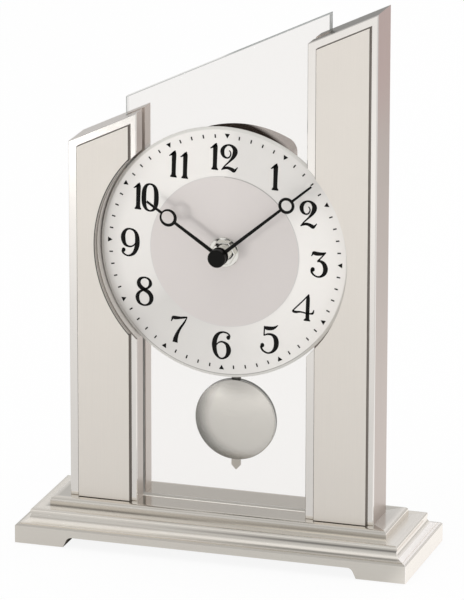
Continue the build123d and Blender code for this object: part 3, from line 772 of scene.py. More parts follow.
@dataclass(frozen=True)
class DialPaint(Finish):
    """Satin dial metal, turned in fine rings, with a painted sheen of lighter and darker sectors.

    The painted sheen is pairs of a clockwise angle in degrees and a factor on the colour there. The painted shade
    line inside the rim and the painted shade beside it are drawn over a part of the turn, given as shares of it.
    """

    # Painted sheen: factors on the colour by clockwise angle
    sheen: tuple[tuple[float, float], ...] = ((0.0, 1.0), (360.0, 1.0))
    # Painted shade on the rim's bevel and in a line inside it
    rim_shade_colour: Colour = (0.6, 0.6, 0.6)
    shade_line_colour: Colour = (0.3, 0.3, 0.3)
    metallic: float = 0.25
    roughness: float = 0.36
    shaft_height: float = 151.4
    rim_radius: float = 61.55
    dial_drop: float = 0.5
    rim_fade: Range = (-0.4, 0.5)
    # Part of the turn and soft width of the painted shade line inside the rim
    line_begin: Range = (0.34, 0.4)
    line_end: Range = (0.6, 0.68)
    line_fade: Range = (0.08, 0.3)
    shade_line_share: float = 0.65
    # Part of the turn, place and depth of the painted shade beside the opening's wall
    shade_begin: Range = (0.55, 0.68)
    shade_end: Range = (0.8, 0.92)
    shade_inset: Range = (-10.0, -4.0)
    shade_tone: float = 0.5
    shade_depth: float = 0.16
    ring_cells: float = 6.0
    turn_cells: float = 1.5
    ring_swing: float = 0.012
    ring_depth: float = 0.006
    gloss_swing: float = 0.12

    def shader(self, board: Board) -> bpy.types.NodeSocket:
        """Adds the nodes: a ramp over the clockwise angle round the shaft sets the painted sheen's lighter and
        darker sectors.

        Args:
            board: The material's nodes.

        Returns:
            The shader.
        """
        x, _, z = board.place()
        up = z - self.shaft_height
        radius = (x * x + up * up) ** 0.5
        turn = board.math("FRACT", board.math("ARCTAN2", x, up) * (0.5 / math.pi))
        ring = board.noise(
            board.vector(radius * self.ring_cells, x / radius * self.turn_cells, up / radius * self.turn_cells)
        )
        # Painted sheen of lighter and darker sectors
        stops = [(angle / 360, tone(self.colour, factor)) for angle, factor in self.sheen]
        sector = board.ramp(turn + ring.spread(0.0, self.ring_swing), stops)
        lowered = up + self.dial_drop
        from_rim = (x * x + lowered * lowered) ** 0.5 - self.rim_radius
        # Painted shade on the rim's bevel
        base = board.mix(from_rim.rise(*self.rim_fade), sector, self.rim_shade_colour)
        # Painted shade line inside the rim
        drawn = turn.between(self.line_begin, self.line_end)
        line = 1 - abs(from_rim).rise(*self.line_fade)
        base = board.mix(line * drawn * self.shade_line_share, base, self.shade_line_colour)
        # Painted shade beside the opening's wall
        shaded = from_rim.rise(*self.shade_inset) * turn.between(self.shade_begin, self.shade_end)
        base = board.mix(shaded * self.shade_depth, base, tone(self.colour, self.shade_tone))
        return board.principled(
            {
                "Base Color": base,
                "Metallic": self.metallic,
                "Roughness": ring.spread(self.roughness, self.gloss_swing),
                "Normal": board.bump(ring, self.ring_depth),
            }
        )


@dataclass(frozen=True)
class Paint(Finish):
    """Sprayed or moulded surface with a fine even texture; the near side of its top can take a painted dark
    reflection.
    """

    roughness: float = 0.4
    metallic: float = 0.0
    speckle: float = 0.05
    texture: float = 3.0
    depth: float = 0.01
    sheen: float = 0.0
    specular: float = 0.5
    cloud_cells: float = 0.08
    skin_share: float = 0.6
    share_range: Range = (0.3, 0.7)
    gloss_swing: float = 0.12
    # Painted dark reflection on the near side of the top
    near_reflection_colour: Colour | None = None
    near_from: Range = (4.0, 21.0)
    near_slope: float = 0.6
    near_fade: Range = (-3.0, 3.5)

    def shader(self, board: Board) -> bpy.types.NodeSocket:
        """Adds the nodes: fine noise varies the colour, the roughness and the relief.

        Args:
            board: The material's nodes.

        Returns:
            The shader.
        """
        skin = board.noise(board.stretched(self.texture, self.texture, self.texture), 3.0)
        cloud = board.noise(board.stretched(self.cloud_cells, self.cloud_cells, self.cloud_cells))
        share = (skin * self.skin_share + cloud * (1 - self.skin_share)).rise(*self.share_range)
        base = board.mix(share, tone(self.colour, 1 - self.speckle), tone(self.colour, 1 + self.speckle))
        metallic: Val | float = self.metallic
        # Painted dark reflection on the near side of the top
        if self.near_reflection_colour:
            x, y, _ = board.place()
            behind = (x - self.near_from[0]) * self.near_slope + y - self.near_from[1]
            near = (1 - behind.rise(*self.near_fade)) * board.faces(Side.TOP, 0.3, 0.6)
            base = board.mix(near, base, self.near_reflection_colour)
            metallic = (1 - near) * self.metallic
        return board.principled(
            {
                "Base Color": base,
                "Metallic": metallic,
                "Roughness": cloud.spread(self.roughness, self.gloss_swing),
                "Sheen Weight": self.sheen,
                "Specular IOR Level": self.specular,
                "Normal": board.bump(skin, self.depth),
            }
        )


@dataclass(frozen=True)
class ClearGlass(Finish):
    """Clear sheet glass: a tinted see-through film with gloss, grey ground edges, painted shade on the right and a
    painted glow at its foot.
    """

    edge_colour: Colour = (0.3, 0.32, 0.31)
    # Painted shade: the ground edges on the right half cover more of the view, and look darker, than those on the
    # left half
    left_cover: float = 0.12
    right_cover: float = 0.75
    arris_cover: float = 0.75
    bed_cover: float = 0.95
    cover_pass: Range = (-5.0, 5.0)
    arris_depth: Range = (0.25, 0.45)
    glow_depth: Range = (0.3, 0.8)
    edge_roughness: float = 0.3
    smear_roughness: float = 0.03
    bed_roughness: float = 0.4
    smear_cells: Cells = (0.04, 0.0, 0.04)
    specular: float = 0.8
    gloss: float = 0.5
    refraction: float = 1.5
    front: float = -3.7
    seat_height: float = 21.5
    seat_side: float = 43.4
    seat_top: float = 192.0
    left_edge: float = -51.6
    side_line_width: float = 0.75
    bed_colour: Colour = (0.6, 0.59, 0.57)
    # Painted highlight: the foot of the pane in the base glows, brightest along its front
    line_glow: Colour = (0.6, 0.58, 0.54)
    bed_glow: Colour = (0.1, 0.095, 0.09)

    def shader(self, board: Board) -> bpy.types.NodeSocket:
        """Adds the nodes: the faces are clear, the ground edges and the parts bedded in the slots are not.

        Args:
            board: The material's nodes.

        Returns:
            The shader.
        """
        x, y, z = board.place()
        edge = 1 - board.faces(Side.FRONT, 0.85, 0.95)
        depth = y - self.front
        arris = 1 - depth.rise(*self.arris_depth)
        # Painted shade: edges on the right half darker than those on the left half
        cover = x.rise(*self.cover_pass) * (self.right_cover - self.left_cover) + self.left_cover
        cover = board.math("MAXIMUM", cover, arris * self.arris_cover)
        beside = 1 - x.rise(-self.seat_side - FADE, -self.seat_side)
        in_slot = beside * (1 - z.rise(self.seat_top, self.seat_top + 1))
        in_base = 1 - z.rise(self.seat_height - FADE, self.seat_height)
        bedded = board.math("MAXIMUM", in_slot, in_base)
        # Painted highlight: glow at the foot of the pane
        glow = board.mix(depth.rise(*self.glow_depth), self.line_glow, self.bed_glow)
        smear = board.noise(board.stretched(*self.smear_cells), 3.0)
        rough = edge * self.edge_roughness + smear * self.smear_roughness + bedded * self.bed_roughness
        shine = board.principled(
            {
                "Base Color": board.mix(bedded, self.edge_colour, self.bed_colour),
                "Roughness": rough,
                "Metallic": 0.0,
                "Specular IOR Level": self.specular,
                "Emission Color": board.mix(in_base, (0.0, 0.0, 0.0), glow),
                "Emission Strength": 1.0,
            }
        )
        fresnel = Val(board, board.node("ShaderNodeFresnel", None, {"IOR": self.refraction}).outputs[0])
        share = edge * cover + (1 - edge) * fresnel * self.gloss
        side_line = 1 - (x - self.left_edge).rise(self.side_line_width, self.side_line_width + FADE)
        share = board.math("MAXIMUM", share, side_line * arris * self.arris_cover)
        share = board.math("MAXIMUM", share, bedded * self.bed_cover)
        film = board.node("ShaderNodeBsdfTransparent", None, {"Color": (*self.colour, 1.0)}).outputs[0]
        return board.blend(share, film, shine)


@dataclass(frozen=True)
class Winding(Finish):
    """Enamelled wire in close turns: a sine wave along the coil's axis."""

    along_x: bool = True
    wire: float = 0.35
    relief: float = 0.08
    # Tone of the painted shade in the grooves between turns
    dark_tone: float = 0.5
    metallic: float = 0.9
    roughness: float = 0.45
    crest_polish: float = 0.15

    def shader(self, board: Board) -> bpy.types.NodeSocket:
        """Adds the nodes: one wave for each turn of wire, with painted shade in the grooves between turns.

        Args:
            board: The material's nodes.

        Returns:
            The shader.
        """
        x, y, _ = board.place()
        turn = (x if self.along_x else y).wave(self.wire)
        return board.principled(
            {
                "Base Color": board.mix(turn, tone(self.colour, self.dark_tone), self.colour),
                "Metallic": self.metallic,
                "Roughness": self.roughness - turn * self.crest_polish,
                "Normal": board.bump(turn, self.relief),
            }
        )


@dataclass(frozen=True)
class CircuitCard(Finish):
    """Green lacquered board with rows of copper tracks under the lacquer."""

    track: Colour = (0.08, 0.34, 0.14)
    pitch: float = 1.27
    row_range: Range = (0.55, 0.7)
    gap_pitch: float = 5.08
    gap_range: Range = (0.2, 0.3)
    relief: float = 0.04
    roughness: float = 0.3
    track_roughness: float = 0.1
    lacquer: float = 0.3

    def shader(self, board: Board) -> bpy.types.NodeSocket:
        """Adds the nodes: tracks where a sine wave across the board is high, broken by a second wave.

        Args:
            board: The material's nodes.

        Returns:
            The shader.
        """
        x, _, z = board.place()
        track = x.wave(self.pitch).rise(*self.row_range) * z.wave(self.gap_pitch).rise(*self.gap_range)
        return board.principled(
            {
                "Base Color": board.mix(track, self.colour, self.track),
                "Roughness": self.roughness + track * self.track_roughness,
                "Normal": board.bump(track, self.relief),
                "Coat Weight": self.lacquer,
            }
        )


@dataclass(frozen=True)
class BatterySleeve(Finish):
    """Shrunk sleeve of a battery with a lighter band near its button."""

    band: Colour = (0.55, 0.56, 0.58)
    band_height: float = 152.0
    relief: float = 0.02
    metallic: float = 0.3
    band_metallic: float = 0.6
    roughness: float = 0.22
    skin_roughness: float = 0.15
    skin_cells: Cells = (0.8, 0.8, 0.3)

    def shader(self, board: Board) -> bpy.types.NodeSocket:
        """Adds the nodes: the band begins at one height, and fine noise breaks the gloss.

        Args:
            board: The material's nodes.

        Returns:
            The shader.
        """
        top = (board.place()[2] - self.band_height).rise(-FADE / 2, FADE / 2)
        skin = board.noise(board.stretched(*self.skin_cells), 3.0)
        return board.principled(
            {
                "Base Color": board.mix(top, self.colour, self.band),
                "Metallic": top * self.band_metallic + self.metallic,
                "Roughness": skin * self.skin_roughness + self.roughness,
                "Normal": board.bump(skin, self.relief),
            }
        )


FIXING_CHROME = PolishedMetal("fixing_chrome", shade("dedcd6"), roughness=0.12)
STEEL = BrushedMetal("steel", shade("b4b2ae"), roughness=0.30, grain=Grain.UPRIGHT)
BRASS = BrushedMetal("brass", shade("cfae6a"), roughness=0.28, grain=Grain.ROUND_DIAL)
INK = Paint("dial_ink", shade("121110"), roughness=0.6, speckle=0.15, texture=6.0, depth=0.004, specular=0.1)
MARK_INK = replace(INK, name="minute_ink", colour=shade("1c1a18"))
HAND_BLACK = Paint("hand_black", shade("0e0e0c"), roughness=0.4, speckle=0.2, depth=0.004, specular=0.1)
FELT = Paint("felt", shade("3a3936"), roughness=0.95, speckle=0.35, texture=4.0, depth=0.2, sheen=0.4)
PLATE_PLASTIC = Paint("movement_plastic", shade("33343a"), roughness=0.55, speckle=0.1, texture=4.0)
KNOB_PLASTIC = Paint("knob_plastic", shade("26262a"), roughness=0.45, speckle=0.1, texture=4.0)
WHEEL_PLASTIC = Paint("wheel_plastic", shade("ece8da"), roughness=0.5, speckle=0.04)
MAGNET = Paint("magnet", shade("55555a"), roughness=0.5, metallic=0.6, speckle=0.15, texture=5.0)
WIRE_COLOUR = shade("c8763c")


@dataclass
class Surface:
    """Points and four-sided faces of one numpy surface."""

    points: np.ndarray
    faces: np.ndarray

    @staticmethod
    def grid(points: np.ndarray, wrap_rows: bool, wrap_columns: bool) -> "Surface":
        """Surface over a grid of points.

        Args:
            points: Array of rows by columns by three, in millimetres.
            wrap_rows: Whether the last row joins the first.
            wrap_columns: Whether the last column joins the first.

        Returns:
            The surface, with one face for each cell of the grid.
        """
        rows, columns = points.shape[:2]
        number = np.arange(rows * columns).reshape(rows, columns)
        row_end = rows if wrap_rows else rows - 1
        column_end = columns if wrap_columns else columns - 1
        here = number[:row_end, :column_end]
        below = np.roll(number, -1, 0)[:row_end, :column_end]
        beside = np.roll(number, -1, 1)[:row_end, :column_end]
        across = np.roll(np.roll(number, -1, 0), -1, 1)[:row_end, :column_end]
        faces = np.stack([here, below, across, beside], -1).reshape(-1, 4)
        return Surface(points.reshape(-1, 3), faces)

    @staticmethod
    def joined(parts: Sequence["Surface"]) -> "Surface":
        """One surface made of several.

        Args:
            parts: The surfaces.

        Returns:
            All their points and faces together.
        """
        starts = np.cumsum([0] + [len(part.points) for part in parts[:-1]])
        faces = [part.faces + start for part, start in zip(parts, starts)]
        return Surface(np.concatenate([part.points for part in parts]), np.concatenate(faces))

    def outward(self) -> "Surface":
        """The same closed surface with its faces outwards: the volume that they enclose is positive.

        Returns:
            This surface, or one with its faces turned over.
        """
        a, b, c, d = (self.points[self.faces[:, i]] for i in range(4))
        volume = np.sum(a * (np.cross(b, c) + np.cross(c, d)))
        return self if volume > 0 else Surface(self.points, self.faces[:, ::-1])

    def piece(self, name: str, body: str, finish: bpy.types.Material, smooth: bool) -> bpy.types.Object:
        """Makes the object and lets it ride on a body.

        Args:
            name: Name of the piece.
            body: Body that the piece moves with.
            finish: Material of the piece.
            smooth: Whether its faces are shaded as one curved surface.

        Returns:
            The object.
        """
        mesh = bpy.data.meshes.new(name)
        mesh.from_pydata((self.points * MM).tolist(), [], self.faces.tolist())
        shell = bmesh.new()
        shell.from_mesh(mesh)
        bmesh.ops.remove_doubles(shell, verts=shell.verts, dist=WELD)
        shell.to_mesh(mesh)
        shell.free()
        mesh.validate()
        mesh.polygons.foreach_set("use_smooth", np.full(len(mesh.polygons), smooth))
        mesh.update()
        mesh.materials.append(finish)
        piece = bpy.data.objects.new(name, mesh)
        bpy.context.scene.collection.objects.link(piece)
        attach(piece, body)
        LOG.info("%s: %d faces", name, len(mesh.polygons))
        return piece


# Pen strokes of the figures: each knot is across, up and half the pen's width, from the figure's middle
ONE: tuple[Stroke, ...] = (
    (
        (0.75, 6.5, 0.35), (0.55, 5.6, 0.85), (0.45, 4.2, 0.98), (0.4, 0.0, 0.93), (0.38, -4.6, 0.93),
        (0.36, -5.6, 1.15), (0.34, -6.1, 1.5),
    ),
    ((-2.05, 4.0, 0.06), (-1.2, 4.5, 0.3), (-0.1, 5.35, 0.5), (1.1, 6.8, 0.1)),
    ((-1.35, -6.3, 0.22), (0.35, -6.25, 0.3), (2.0, -6.35, 0.22)),
)
TWO: tuple[Stroke, ...] = (
    (
        (-0.2, 3.8, 0.08), (0.45, 3.1, 0.17), (0.68, 1.9, 0.22), (0.0, 0.5, 0.26), (-1.3, -0.05, 0.32),
        (-2.8, 0.7, 0.6), (-3.5, 2.2, 0.85), (-3.5, 3.8, 0.85), (-2.5, 5.5, 0.6), (-0.6, 6.5, 0.32),
        (1.4, 6.0, 0.6), (2.75, 4.4, 1.0), (2.8, 2.7, 1.05), (1.9, 0.6, 0.75), (0.1, -1.7, 0.36),
        (-2.1, -4.0, 0.22), (-3.7, -6.1, 0.12),
    ),
    (
        (-3.9, -6.25, 0.08), (-2.6, -5.4, 0.45), (-0.8, -4.95, 0.6), (1.1, -5.45, 0.75), (2.4, -6.0, 0.85),
        (3.3, -5.5, 0.4), (4.3, -4.25, 0.05),
    ),
)
THREE: tuple[Stroke, ...] = (
    (
        (-4.1, 3.75, 0.06), (-3.45, 4.7, 0.35), (-2.9, 5.3, 0.8), (-1.5, 5.2, 0.85), (0.5, 5.25, 0.7),
        (2.0, 5.6, 0.5), (3.2, 6.2, 0.12),
    ),
    ((3.0, 6.0, 0.12), (1.1, 3.7, 0.22), (-0.9, 1.4, 0.3)),
    (
        (-1.1, 1.2, 0.14), (0.4, 1.55, 0.5), (2.2, 0.5, 0.85), (3.15, -1.7, 1.05), (2.75, -4.2, 0.85),
        (1.25, -5.85, 0.5), (-0.6, -6.4, 0.3), (-2.6, -5.65, 0.35), (-3.7, -4.3, 0.42), (-3.75, -2.9, 0.5),
    ),
    ((-3.2, -2.9, 1.0),),
)
FOUR: tuple[Stroke, ...] = (
    (
        (2.75, 6.95, 0.1), (2.5, 6.0, 0.5), (2.35, 4.5, 0.8), (2.3, 0.0, 0.82), (2.25, -4.6, 0.82),
        (2.2, -5.6, 1.0), (2.15, -6.1, 1.4),
    ),
    ((2.5, 6.6, 0.12), (0.0, 3.6, 0.2), (-3.0, 0.3, 0.22), (-5.3, -2.2, 0.2)),
    (
        (-5.5, -2.2, 0.12), (-4.8, -2.55, 0.5), (-3.5, -2.65, 0.5), (-1.1, -2.35, 0.3), (1.7, -2.75, 0.26),
        (3.8, -2.75, 0.3), (4.9, -2.4, 0.4), (5.45, -0.7, 0.06),
    ),
    ((0.45, -6.35, 0.2), (2.15, -6.25, 0.3), (3.75, -6.35, 0.2)),
)
FIVE: tuple[Stroke, ...] = (
    (
        (-2.75, 6.0, 0.35), (-2.0, 5.5, 0.75), (-0.8, 5.35, 0.85), (1.2, 5.6, 0.75), (2.8, 6.35, 0.42),
        (4.05, 7.4, 0.05),
    ),
    ((-2.7, 6.4, 0.2), (-2.8, 4.0, 0.2), (-2.9, 1.4, 0.2)),
    (
        (-2.95, 1.5, 0.16), (-1.1, 2.35, 0.35), (1.1, 2.3, 0.55), (2.8, 1.0, 0.95), (3.45, -1.4, 1.1),
        (3.05, -4.2, 0.9), (1.4, -6.4, 0.5), (-0.8, -7.2, 0.32), (-3.0, -6.4, 0.38), (-4.05, -5.0, 0.42),
        (-4.15, -3.9, 0.5),
    ),
    ((-3.6, -3.5, 0.95),),
)
SIX: tuple[Stroke, ...] = (
    (
        (3.9, 4.7, 0.45), (3.6, 5.9, 0.32), (2.3, 6.7, 0.3), (0.4, 6.85, 0.35), (-1.7, 5.9, 0.6),
        (-3.2, 3.6, 0.95), (-3.8, 0.2, 1.05), (-3.2, -3.6, 0.85), (-1.75, -5.85, 0.5), (0.0, -6.65, 0.32),
        (2.0, -5.85, 0.5), (3.3, -3.9, 0.9), (3.6, -1.7, 1.05), (2.8, 0.5, 0.8), (1.4, 1.6, 0.45),
        (-0.2, 1.9, 0.3), (-1.75, 1.2, 0.22), (-2.9, -0.25, 0.12),
    ),
    ((3.25, 4.35, 0.95),),
)
SEVEN: tuple[Stroke, ...] = (
    (
        (-4.1, 3.7, 0.06), (-3.55, 4.9, 0.35), (-3.05, 5.6, 0.75), (-1.6, 5.7, 0.75), (0.6, 5.9, 0.5),
        (2.6, 6.25, 0.42), (4.05, 6.65, 0.1),
    ),
    (
        (4.0, 6.55, 0.12), (2.7, 3.8, 0.35), (0.6, 0.5, 0.5), (-0.8, -2.3, 0.72), (-1.6, -4.8, 0.98),
        (-1.9, -6.9, 1.15),
    ),
)
EIGHT: tuple[Stroke, ...] = (
    (
        (0.0, 7.1, 0.32), (-2.3, 6.3, 0.6), (-3.2, 4.3, 0.85), (-2.3, 2.3, 0.95), (-0.1, 0.9, 0.85),
        (2.3, -0.5, 0.9), (3.5, -2.9, 0.95), (2.7, -5.7, 0.65), (0.1, -7.0, 0.32), (-2.6, -6.0, 0.6),
        (-3.7, -3.25, 0.85), (-2.9, -0.8, 0.6), (-0.8, 0.7, 0.42), (1.7, 2.1, 0.45), (2.85, 4.0, 0.72),
        (2.2, 6.2, 0.5), (0.0, 7.1, 0.32),
    ),
)
NINE: tuple[Stroke, ...] = (
    (
        (-3.9, -4.5, 0.45), (-3.35, -5.75, 0.35), (-1.75, -6.7, 0.3), (0.1, -6.65, 0.4), (2.2, -5.1, 0.75),
        (3.5, -2.0, 1.0), (3.75, 1.1, 1.05), (3.3, 4.25, 0.85), (2.0, 6.15, 0.5), (-0.2, 6.85, 0.32),
        (-2.15, 6.1, 0.55), (-3.4, 3.9, 0.9), (-3.5, 1.4, 1.0), (-2.65, -1.0, 0.72), (-1.1, -2.0, 0.4),
        (0.75, -2.0, 0.3), (2.3, -0.9, 0.22), (3.2, 0.8, 0.12),
    ),
    ((-3.2, -4.1, 0.95),),
)
NOUGHT: tuple[Stroke, ...] = (
    (
        (0.0, 6.75, 0.32), (-1.9, 5.9, 0.6), (-2.95, 3.6, 0.95), (-3.2, 0.0, 1.05), (-2.95, -3.6, 0.95),
        (-1.9, -5.9, 0.6), (0.0, -6.75, 0.32), (1.9, -5.9, 0.6), (2.95, -3.6, 0.95), (3.2, 0.0, 1.05),
        (2.95, 3.6, 0.95), (1.9, 5.9, 0.6), (0.0, 6.75, 0.32),
    ),
)
# Middle of each figure, across and up from the hand shaft, and its strokes
FIGURES: tuple[tuple[float, float, tuple[Stroke, ...]], ...] = (
    (24.37, 40.37, ONE),
    (41.87, 23.63, TWO),
    (48.0, -0.8, THREE),
    (40.53, -23.47, FOUR),
    (24.05, -41.44, FIVE),
    (-0.21, -47.63, SIX),
    (-22.19, -41.92, SEVEN),
    (-40.16, -24.75, EIGHT),
    (-48.21, -0.64, NINE),
    (-44.85, 23.15, ONE),
    (-38.4, 23.15, NOUGHT),
    (-27.1, 41.3, ONE),
    (-21.35, 41.25, ONE),
    (-6.3, 47.3, ONE),
    (1.3, 47.3, TWO),
)


class SubAssembly:
    """Pieces of the clock that belong together."""

    def finishes(self) -> dict[Finish, tuple[str, ...]]:
        """Pieces of the frame that take each finish."""
        raise NotImplementedError

    def build(self) -> None:
        """Makes the meshes that the frame leaves to the scene; most sub-assemblies have none."""

    def dress(self) -> None:
        """Gives each piece of the frame in this sub-assembly its finish."""
        for finish, names in self.finishes().items():
            for name in names:
                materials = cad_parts[name].data.materials
                materials.clear()
                materials.append(material_of(finish))
                LOG.info("%s: %s", name, finish.name)


@dataclass
class Base(SubAssembly):
    """The stepped base on its feet, with the pads below and the screws that hold the columns."""

    width: float = 200.0
    depth: float = 67.0
    block_top: float = 10.0
    arch_half_width: float = 75.2
    arch_top: float = 5.7
    gain: float = 1.45

    def finishes(self) -> dict[Finish, tuple[str, ...]]:
        """Metal with painted highlights and shade lines for the base, felt for the pads, steel for the screws.

        Returns:
            The pieces of each finish.
        """
        metal = BaseMetal(
            "base_satin_metal",
            tone(shade("d9d2ca"), self.gain),
            roughness=0.15,
            contrast=0.03,
            depth=0.004,
            half_width=self.width / 2,
            half_depth=self.depth / 2,
            block_top=self.block_top,
            # Painted highlights and painted shade lines along the profile, as factors on the colour
            left_light_and_shade_bands=(
                (0, 1.08), (4, 1.34), (8, 1.12), (11, 0.86), (15, 1.2), (18, 1.42), (21, 1.4), (23, 0.56),
                (25, 0.88), (29, 0.98), (32.5, 1.5), (34, 1.05),
            ),
            right_light_and_shade_bands=(
                (0, 1.05), (3, 0.85), (4.2, 0.5), (6, 1.3), (9, 1.25), (12.3, 0.28), (14, 0.85), (17.5, 1.47),
                (22.5, 1.32), (24.5, 0.52), (29, 0.86), (32.2, 1.5), (34, 1.05),
            ),
            # Painted shade on the walls of the arch between the feet
            arch_shade_colour=shade("6e6862"),
            arch_half_width=self.arch_half_width,
            arch_top=self.arch_top,
        )
        return {
            metal: ("base_block", "base_moulding", "base_cap"),
            FELT: ("felt_pads",),
            STEEL: ("column_screws",),
        }


@dataclass
class Columns(SubAssembly):
    """The two columns: cores with the slot of the glass, polished fronts and brushed panels."""

    opening_across: float = 0.2
    opening_height: float = 151.3
    opening_radius: float = 63.9
    slot_back: float = 0.4
    foot: float = 30.0
    shoulder: float = 200.0
    top: float = 250.0

    def finishes(self) -> dict[Finish, tuple[str, ...]]:
        """Satin metal for the cores and the panels, a mirror for the fronts, all with painted light and shade.

        Returns:
            The pieces of each finish.
        """
        recess = Recess(self.opening_across, self.opening_height, self.opening_radius)
        core = ColumnMetal(
            "column_satin_metal",
            shade("c8bbb3"),
            roughness=0.34,
            grain=Grain.UPRIGHT,
            recess=recess,
            # Painted light: the core's wall of the opening is lighter and dull
            painted_recess_colour=shade("dcd6d0"),
            recess_metallic=0.0,
            slot_back=self.slot_back,
            # Painted light on the left column's top and side, painted shade on the right column's top and side
            left_top_light=shade("f3ede7"),
            left_side_light=shade("e0d8d2"),
            right_top_shade=shade("95928b"),
            right_high_shade=shade("c8b0a9"),
            low_from=self.foot,
            low_to=self.shoulder,
            high_to=self.top,
        )
        # Painted shade on the front plates' wall of the opening
        front = PolishedMetal("border_mirror", shade("e6e2dd"), recess=recess, painted_recess_colour=shade("a8a19b"))
        panel = BrushedMetal(
            "panel_satin_metal",
            shade("e8e2da"),
            roughness=0.42,
            grain=Grain.UPRIGHT,
            contrast=0.02,
            # Painted shade on the panels' side faces and on their wall of the opening, and the painted shadow line
            # round it
            edge_colour=shade("6a635c"),
            recess=recess,
            painted_recess_colour=shade("b9b2ac"),
            recess_metallic=0.4,
            shade_line_share=0.9,
        )
        return {
            core: ("left_column", "right_column"),
            front: ("left_front_plate", "right_front_plate"),
            panel: ("left_panel", "right_panel"),
        }


@dataclass
class GlassPane(SubAssembly):
    """The glass between the columns, bedded in their slots and in the groove of the base."""

    front: float = -3.7
    width: float = 103.2
    base_top: float = 21.5
    slot_mouth: float = 43.4
    left_column_top: float = 192.0

    def finishes(self) -> dict[Finish, tuple[str, ...]]:
        """Clear glass.

        Returns:
            The pieces of each finish.
        """
        glass = ClearGlass(
            "clear_glass",
            shade("fbfaf9"),
            front=self.front,
            seat_height=self.base_top,
            seat_side=self.slot_mouth,
            seat_top=self.left_column_top,
            left_edge=-self.width / 2,
        )
        return {glass: ("glass_panel",)}


